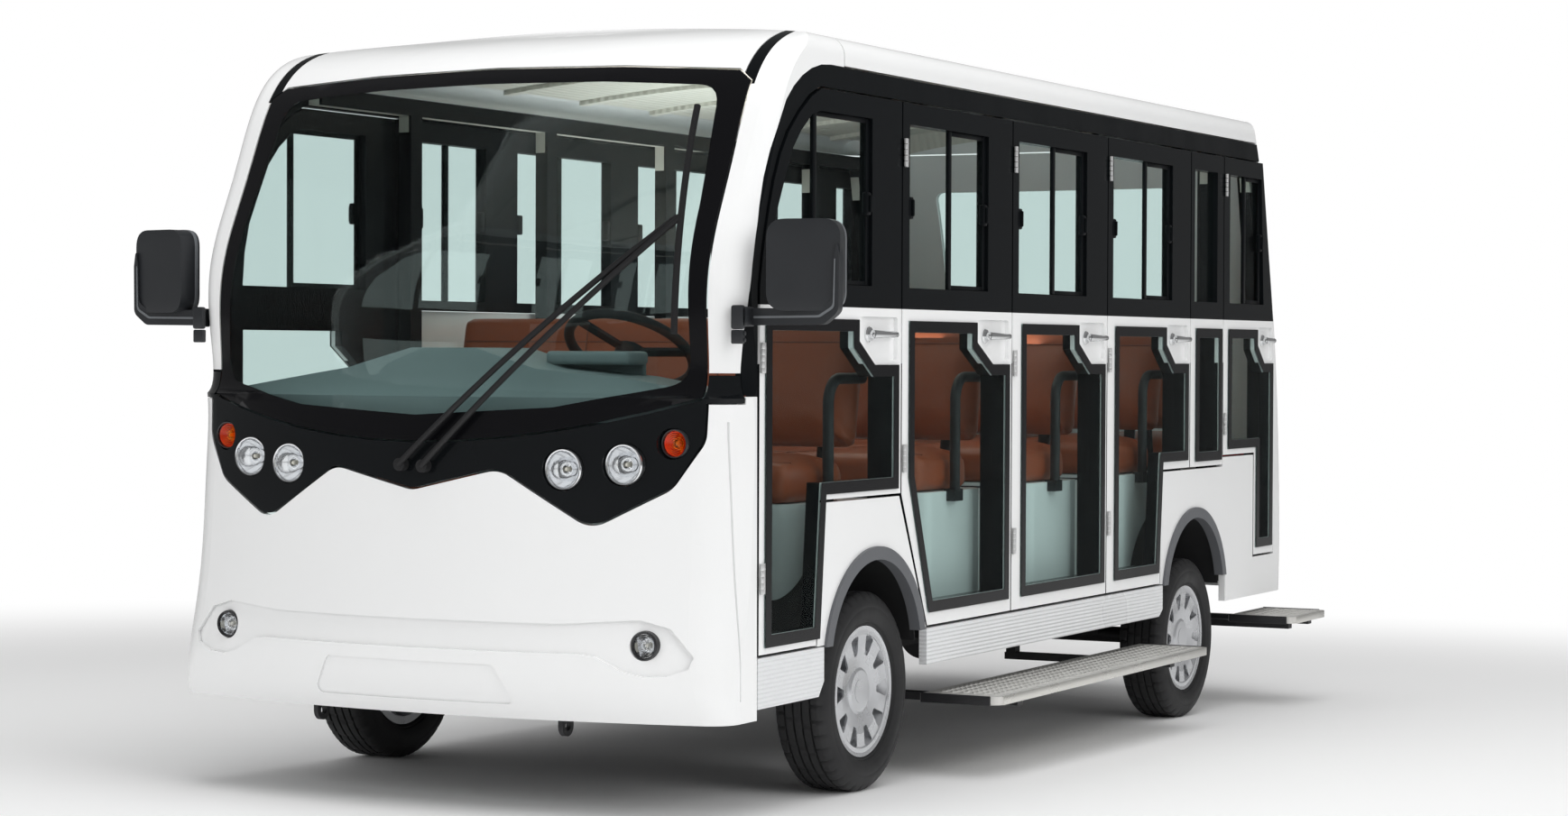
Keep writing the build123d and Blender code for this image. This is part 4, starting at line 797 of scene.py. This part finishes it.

# Door mirrors
# Charcoal moulded heads with rounded edges and a lighter rim, each on a flat J-shaped steel arm
# that leaves a bracket on the nose, passes under the head and turns up outside it. Each glass is
# silvered and set in behind the rim. The arm's pressed crease carries the rim's lighter grey as a painted
# highlight.
mirror_glass = grained("mirror_glass", (0.82, 0.85, 0.87), 0.01, 0.03, 10, 0.00001, 0.01, 2.0, metallic=1.0)
head_x, head_y, head_z = 0.735, 1.025, 1.455
head_d, head_w, head_h = 0.070, 0.196, 0.236
mirror_toe = math.radians(12)


def rounded_plate(name, width, height, depth, corner, lip, lip_steps=5):
    """A plate across X with rounded corners and rounded edges, centred on the origin."""
    outline = rounded([(-width / 2, -height / 2), (width / 2, -height / 2), (width / 2, height / 2),
                       (-width / 2, height / 2)], corner, 8)
    piece = flat_piece(name, [outline], depth)
    piece.data.transform(seen_from_front)
    bevelled(piece, lip, lip_steps, 60)
    return piece


# The arm and the crease pressed into it, as (y, z) outlines
arm_line = [(0.868, 1.300), (1.085, 1.302), (1.128, 1.335), (1.129, 1.470), (1.122, 1.520), (1.114, 1.470),
            (1.112, 1.365), (1.070, 1.343), (0.868, 1.345)]
crease_line = [(0.885, 1.318), (1.075, 1.320), (1.117, 1.345), (1.119, 1.470), (1.116, 1.470), (1.113, 1.350),
               (1.072, 1.326), (0.885, 1.324)]
set_arm = Matrix.Translation((0.745, 0, 0)) @ seen_from_front
set_head = Matrix.Translation((head_x, head_y, head_z)) @ Matrix.Rotation(mirror_toe, 4, "Z")
for side, word in ((1, "left"), (-1, "right")):
    shell = rounded_plate("shell", head_w, head_h, head_d, 0.050, 0.020)
    shell.data.transform(set_head)
    rim = rounded_plate("rim", head_w + 0.002, head_h + 0.002, 0.012, 0.051, 0.004, 3)
    rim.data.transform(set_head @ Matrix.Translation((-head_d / 2 + 0.012, 0, 0)))
    face = rounded_plate("face", head_w - 0.022, head_h - 0.022, 0.002, 0.042, 0.0008, 2)
    face.data.transform(set_head @ Matrix.Translation((-head_d / 2 - 0.0008, 0, 0)))
    band = flat_piece("band", [rounded(arm_line, 0.030, 6)], 0.026)
    band.data.transform(set_arm)
    # the crease stands proud of the arm in the rim's lighter grey, a painted highlight along the pressed
    # crease
    crease = flat_piece("crease", [rounded(crease_line, 0.02, 5)], 0.030)
    crease.data.transform(set_arm)
    foot = bar("foot", (0.790, 0.845, 1.290), (0.812, 0.8785, 1.352), 0.006, 3)
    strap = bar("strap", (0.742, 0.868, 1.296), (0.806, 0.8785, 1.348), 0.004, 3)
    lower = bar("lower", (0.790, 0.845, 1.252), (0.810, 0.8775, 1.288), 0.004, 3)
    screws = [rod("screw", (0.795, 0.876, z), (0.795, 0.8805, z), 0.006) for z in (1.262, 1.279)]
    frame_parts = [shell, band, foot, strap, lower] + screws
    rim_and_highlight_parts = [rim, crease]
    if side < 0:
        frame_parts = [flipped(piece, "part", keep=False) for piece in frame_parts]
        rim_and_highlight_parts = [flipped(piece, "part", keep=False) for piece in rim_and_highlight_parts]
        face = flipped(face, "face", keep=False)
    for label, parts, finish in (("head_and_arm", frame_parts, mirror_grey),
                                 ("edge", rim_and_highlight_parts, rim_grey_and_crease_highlight), ("glass", [face], mirror_glass)):
        piece = finish_piece(join(f"{word}_mirror_{label}", parts), finish, "bus_body")
        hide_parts("door_mirrors")

# Tyres
# Radial road tyres: two raised rings and a rim guard on each sidewall, four tread grooves all round,
# and slots cut across both shoulders. Each is one revolved rubber section.
tread_columns = 240
slot_pitch = 6
tread_half = 0.0585
groove_half, groove_depth = 0.0032, 0.0065
slot_from_y, slot_from_r, slot_depth = 0.0415, 0.266, 0.0055
cut_to_y, cut_from_r, cut_depth = 0.0365, 0.279, 0.004
right_side_shift = 3
# From the bead out to the tread: radius, half width
tyre_side = [(0.1655, 0.0535), (0.1825, 0.0572), (0.1860, 0.0660), (0.1895, 0.0690), (0.1925, 0.0688),
             (0.1960, 0.0745), (0.2010, 0.0765), (0.2030, 0.0778), (0.2060, 0.0778), (0.2080, 0.0790),
             (0.2200, 0.0818), (0.2330, 0.0820), (0.2350, 0.0812), (0.2390, 0.0812), (0.2410, 0.0816),
             (0.2500, 0.0792), (0.2600, 0.0755), (0.2685, 0.0715), (0.2740, 0.0670), (0.2783, 0.0615),
             (0.2800, tread_half)]
tread = []
for centre in (0.0390, 0.0130, -0.0130, -0.0390):
    tread += [(tyre_r, centre + groove_half), (tyre_r - groove_depth, centre + groove_half * 0.6),
              (tyre_r - groove_depth, centre - groove_half * 0.6), (tyre_r, centre - groove_half)]
tyre_section = tyre_side + tread + [(radius, -y) for radius, y in reversed(tyre_side)]
for corner in ("front_left", "front_right", "rear_left", "rear_right"):
    hub = next(joint["pos_m"] for joint in frame["joints"] if joint["name"] == f"roll_{corner}")
    tyre = turned(f"tyre_{corner}_tread", tyre_section, steps=tread_columns)
    for vertex in tyre.data.vertices:
        radius = math.hypot(vertex.co.x, vertex.co.y)
        column = round(math.atan2(vertex.co.y, vertex.co.x) / (2 * math.pi) * tread_columns)
        column += right_side_shift if vertex.co.z < 0 else 0
        across = abs(vertex.co.z)
        depth = 0
        if column % slot_pitch == 0 and across > slot_from_y and radius > slot_from_r:
            depth = slot_depth
        if column % (slot_pitch * 2) == 4 and across < cut_to_y and radius > cut_from_r:
            depth = cut_depth
        if depth:
            vertex.co.x *= 1 - depth / radius
            vertex.co.y *= 1 - depth / radius
    tyre.data.transform(Matrix.Translation(hub) @ Matrix.Rotation(math.pi / 2, 4, "X"))
    finish_piece(tyre, rubber, f"wheel_{corner}", Matrix())
    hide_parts(f"tyre_{corner}")

# Steps and skirts
# Chequer-plate treads folded from steel, with a pale rolled edge and black rubber end caps.
# The raised lozenges lie both ways, in rows; the skirts are extruded aluminium with fine ribs.
plate_edge = grained("step_edge_steel", (0.75, 0.74, 0.70), 0.25, 0.35, 200, 0.0003, 0.08, 8.0, metallic=0.8)
cap_rubber = grained("step_cap_rubber", (0.02, 0.02, 0.022), 0.5, 0.65, 300, 0.0003, 0.1, 8.0)
step_inner, step_outer, plate_t = 0.800, 1.052, 0.024
lozenge_pitch = 0.034
for number, (front, rear, top) in enumerate(((-0.460, -2.260, 0.230), (-3.180, -3.570, 0.264))):
    lozenges = []
    for turn, shift in ((math.radians(45), 0), (math.radians(-45), lozenge_pitch / 2)):
        bpy.ops.object.select_all(action="DESELECT")
        bpy.ops.mesh.primitive_cube_add(size=1)
        lozenge = bpy.context.object
        lozenge.data.transform(Matrix.Diagonal((0.026, 0.007, 0.0018, 1)))
        for vertex in lozenge.data.vertices:
            if vertex.co.z > 0:
                vertex.co.x *= 0.7
                vertex.co.y *= 0.5
        first = (rear + 0.045 + shift, step_inner + 0.030 + shift, top + 0.0008)
        lozenge.data.transform(Matrix.Translation(first) @ Matrix.Rotation(turn, 4, "Z"))
        for axis, count in ((0, int((front - rear - 0.09) / lozenge_pitch)), (1, 6)):
            row = lozenge.modifiers.new("row", "ARRAY")
            row.count = count
            row.use_relative_offset = False
            row.use_constant_offset = True
            row.constant_offset_displace = (lozenge_pitch, 0, 0) if axis == 0 else (0, lozenge_pitch, 0)
        apply_modifiers(lozenge)
        lozenges.append(lozenge)
    finish_piece(join(f"step_{number}_tread", lozenges), plate, "bus_body")
    edge = bar("edge", (rear + 0.030, step_outer - 0.004, top - plate_t - 0.001),
               (front - 0.030, step_outer + 0.002, top + 0.0015), 0.0015)
    finish_piece(edge, plate_edge, "bus_body")
    edge.name = f"step_{number}_edge"
    caps = [bar("cap", (x - 0.004, step_inner + 0.002, top - plate_t - 0.002),
                (x + 0.004, step_outer - 0.028, top + 0.002), 0.002) for x in (rear - 0.001, front + 0.001)]
    finish_piece(join(f"step_{number}_caps", caps), cap_rubber, "bus_body")


def ribbed(finish, direction, pitch, depth):
    """Give a material fine straight ribs, a pitch apart along a direction."""
    nodes = finish.node_tree.nodes
    place = nodes.new("ShaderNodeTexCoord")
    along = nodes.new("ShaderNodeVectorMath")
    along.operation = "DOT_PRODUCT"
    along.inputs[1].default_value = [2 * math.pi / pitch * part for part in direction]
    wave = maths(finish.node_tree, "SINE")
    bump = nodes.new("ShaderNodeBump")
    bump.inputs["Distance"].default_value = depth
    wire(place, "Object", along, 0)
    wire(along, "Value", wave, 0)
    wire(wave, "Value", bump, "Height")
    wire(nodes["grain"], "Normal", bump, "Normal")
    wire(bump, "Normal", nodes["Principled BSDF"], "Normal")


ribbed(brushed, (math.sin(rake), 0, math.cos(rake)), 0.0115, 0.0012)
ribbed(lining_cream, (0, 1, 0), 0.030, 0.0015)

# Padded benches
# Tan leather over foam: three places side by side, with a rolled front edge and piped seams.
# One cushion and one back are inflated as cloth between their seams, then copied to all five benches.
bench_right, bench_left = -0.640, 0.735
box_top, cushion_top = 0.812, 0.932
cushion_rear, cushion_front = -0.180, 0.210
side_seam_z, upper_z, roll_x = 0.868, 0.87, 0.118
back_low, back_top, back_deep = 0.960, 1.345, 0.085
lean = math.radians(12)
slack = 0.008
voxel = 0.012
seam_reach, seam_r = 0.009, 0.0022
most_swell = 0.022
seam_rows = [bench_right + (bench_left - bench_right) * third / 3 for third in (1, 2)]


def inflated(piece, held, pressure=4.0):
    """Rebuild a pad in even voxels, then blow it up as cloth held along its seams, by no more than a cap."""
    cells = piece.modifiers.new("cells", "REMESH")
    cells.mode = "VOXEL"
    cells.voxel_size = voxel
    cells.use_smooth_shade = True
    apply_modifiers(piece)
    before = [vertex.co.copy() for vertex in piece.data.vertices]
    seams = piece.vertex_groups.new(name="seams")
    seams.add([vertex.index for vertex in piece.data.vertices if held(vertex.co)], 1.0, "REPLACE")
    cloth = piece.modifiers.new("cloth", "CLOTH")
    cloth.settings.quality = 4
    cloth.settings.mass = 0.3
    cloth.settings.use_pressure = True
    cloth.settings.uniform_pressure_force = pressure
    cloth.settings.effector_weights.gravity = 0
    cloth.settings.vertex_group_mass = "seams"
    cloth.collision_settings.use_collision = False
    scene = bpy.context.scene
    for moment in range(1, 21):
        scene.frame_set(moment)
    apply_modifiers(piece)
    for vertex, start in zip(piece.data.vertices, before):
        moved = vertex.co - start
        if moved.length > most_swell:
            vertex.co = start + moved.normalized() * most_swell
    scene.frame_set(1)


def near_seam_row(at):
    """Whether a point lies by one of the seams between the places."""
    return min(abs(at.y - row) for row in seam_rows) < seam_reach


def held_cushion(at):
    """Whether a point of the cushion is held: its underside, its side seam or a seam of its top."""
    if at.z < box_top + 0.010 or abs(at.z - side_seam_z) < seam_reach * 0.6:
        return True
    return at.z > upper_z and (near_seam_row(at) or abs(at.x - roll_x) < seam_reach)


def held_back(at):
    """Whether a point of the back is held: its side seam or a seam of its front."""
    if abs(at.x + back_deep / 2) < seam_reach * 0.6:
        return True
    return at.x > -back_deep / 2 and (near_seam_row(at) or abs(at.z - top_roll) < seam_reach)


# The cushion is modelled about its rail, and the back upright on the origin before it leans
cushion = bar("cushion", (cushion_rear + slack, bench_right + slack, box_top + 0.002),
              (cushion_front - slack, bench_left - slack, cushion_top - slack), 0.028, 4)
inflated(cushion, held_cushion)
leaning = Matrix.Translation((-0.190, 0, back_low)) @ Matrix.Rotation(-lean, 4, "Y")
back_long = (back_top - back_low) / math.cos(lean)
back = bar("back", (-back_deep + slack, bench_right + slack, slack),
           (-slack, bench_left - slack, back_long - slack), 0.026, 4)
top_roll = back_long - 0.085
inflated(back, held_back)
back.data.transform(leaning)


def piped(lines):
    """Piped seams: thin round cords along straight lines."""
    return join("piping", [rod("seam", start, end, seam_r, sides=8) for start, end in lines])


seam_z = cushion_top - slack
seam_right, seam_left = bench_right + 0.03, bench_left - 0.03
piping = piped([((-0.150, row, seam_z), (0.175, row, seam_z)) for row in seam_rows]
               + [((roll_x, seam_right, seam_z), (roll_x, seam_left, seam_z))])
back_piping = piped([((-slack, row, 0.03), (-slack, row, back_long - 0.03)) for row in seam_rows]
                    + [((-slack, seam_right, top_roll), (-slack, seam_left, top_roll))])
back_piping.data.transform(leaning)
piping = join("bench_piping", [piping, back_piping])
seam_leather = grained("seam_piping", (0.16, 0.045, 0.025), 0.35, 0.5, 350, 0.0004, 0.2, 8.0)
bench_feet = [0.075, -0.788, -1.583, -2.378, -3.110]
for number, foot in enumerate(bench_feet, 1):
    facing = Matrix.Diagonal((-1, 1, 1, 1)) if number == 5 else Matrix.Identity(4)
    for source, label, node in ((cushion, "cushion", "seat_cushions"), (back, "back", "seat_backs"),
                                (piping, "piping", None)):
        pad = new_object(f"bench_{number}_{label}", source.data.copy())
        pad.data.transform(Matrix.Translation((foot, 0, 0)) @ facing)
        if number == 5:
            edit_mesh(pad, (bpy.ops.mesh.flip_normals, {}))
        finish_piece(pad, leather if node else seam_leather, "bus_body", raked, 60)
        if node:
            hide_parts(node)
for source in (cushion, back, piping):
    bpy.data.objects.remove(source)

# Cabin and driver's place
# On the moulded seat boxes, a thin dark strip just under each cushion's overhang is a painted shadow. The
# dash is a grained moulding, with a hooded instrument panel, a dark glass screen and round air vents with
# slats set into it.
# painted shadow: a dark strip on each box front, where the cushion above shades it
painted_shadow_black = grained("painted_cushion_shadow", (0.05, 0.05, 0.055), 0.4, 0.5, 300, 0.0001, 0.1, 5.0)
lines = []
for number, foot in enumerate(bench_feet, 1):
    facing = -1 if number == 5 else 1
    front = foot + facing * 0.190
    lines.append(bar("line", (min(front, front + facing * 0.0012), bench_right + 0.075, 0.794),
                     (max(front, front + facing * 0.0012), bench_left - 0.055, 0.801), 0.0004, 1))
finish_piece(join("painted_cushion_shadow_strips", lines), painted_shadow_black, "bus_body")
screen_black = grained("dash_screen", (0.01, 0.012, 0.015), 0.05, 0.1, 100, 0.00002, 0.05, 5.0, coat=0.5)
dash_parts = [bar("hood", (0.625, 0.240, 1.196), (0.735, 0.500, 1.232), 0.012, 4),
              bar("panel", (0.612, 0.255, 1.150), (0.628, 0.485, 1.215), 0.006, 3)]
finish_piece(join("dash_hood", dash_parts), dash_grey, "bus_body")
dash_screen = bar("dash_screen", (0.6095, 0.275, 1.158), (0.6125, 0.465, 1.207), 0.001, 2)
finish_piece(dash_screen, screen_black, "bus_body")
vent_z = 1.085
slat_heights = [vent_z + dz for dz in (-0.018, -0.006, 0.006, 0.018)]
vents = []
for y in (-0.640, -0.330, 0.080, 0.640):
    vents.append(rod("vent", (0.6105, y, vent_z), (0.603, y, vent_z), 0.036, 0.033, 32))
    vents += [bar("slat", (0.6005, y - 0.028, z - 0.002), (0.6035, y + 0.028, z + 0.002), 0.0008, 1)
              for z in slat_heights]
finish_piece(join("dash_vents", vents), liner_black, "bus_body")

# Bounds
# The box of what is seen, in metres, taken over every shown piece but the floor.
low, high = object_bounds()
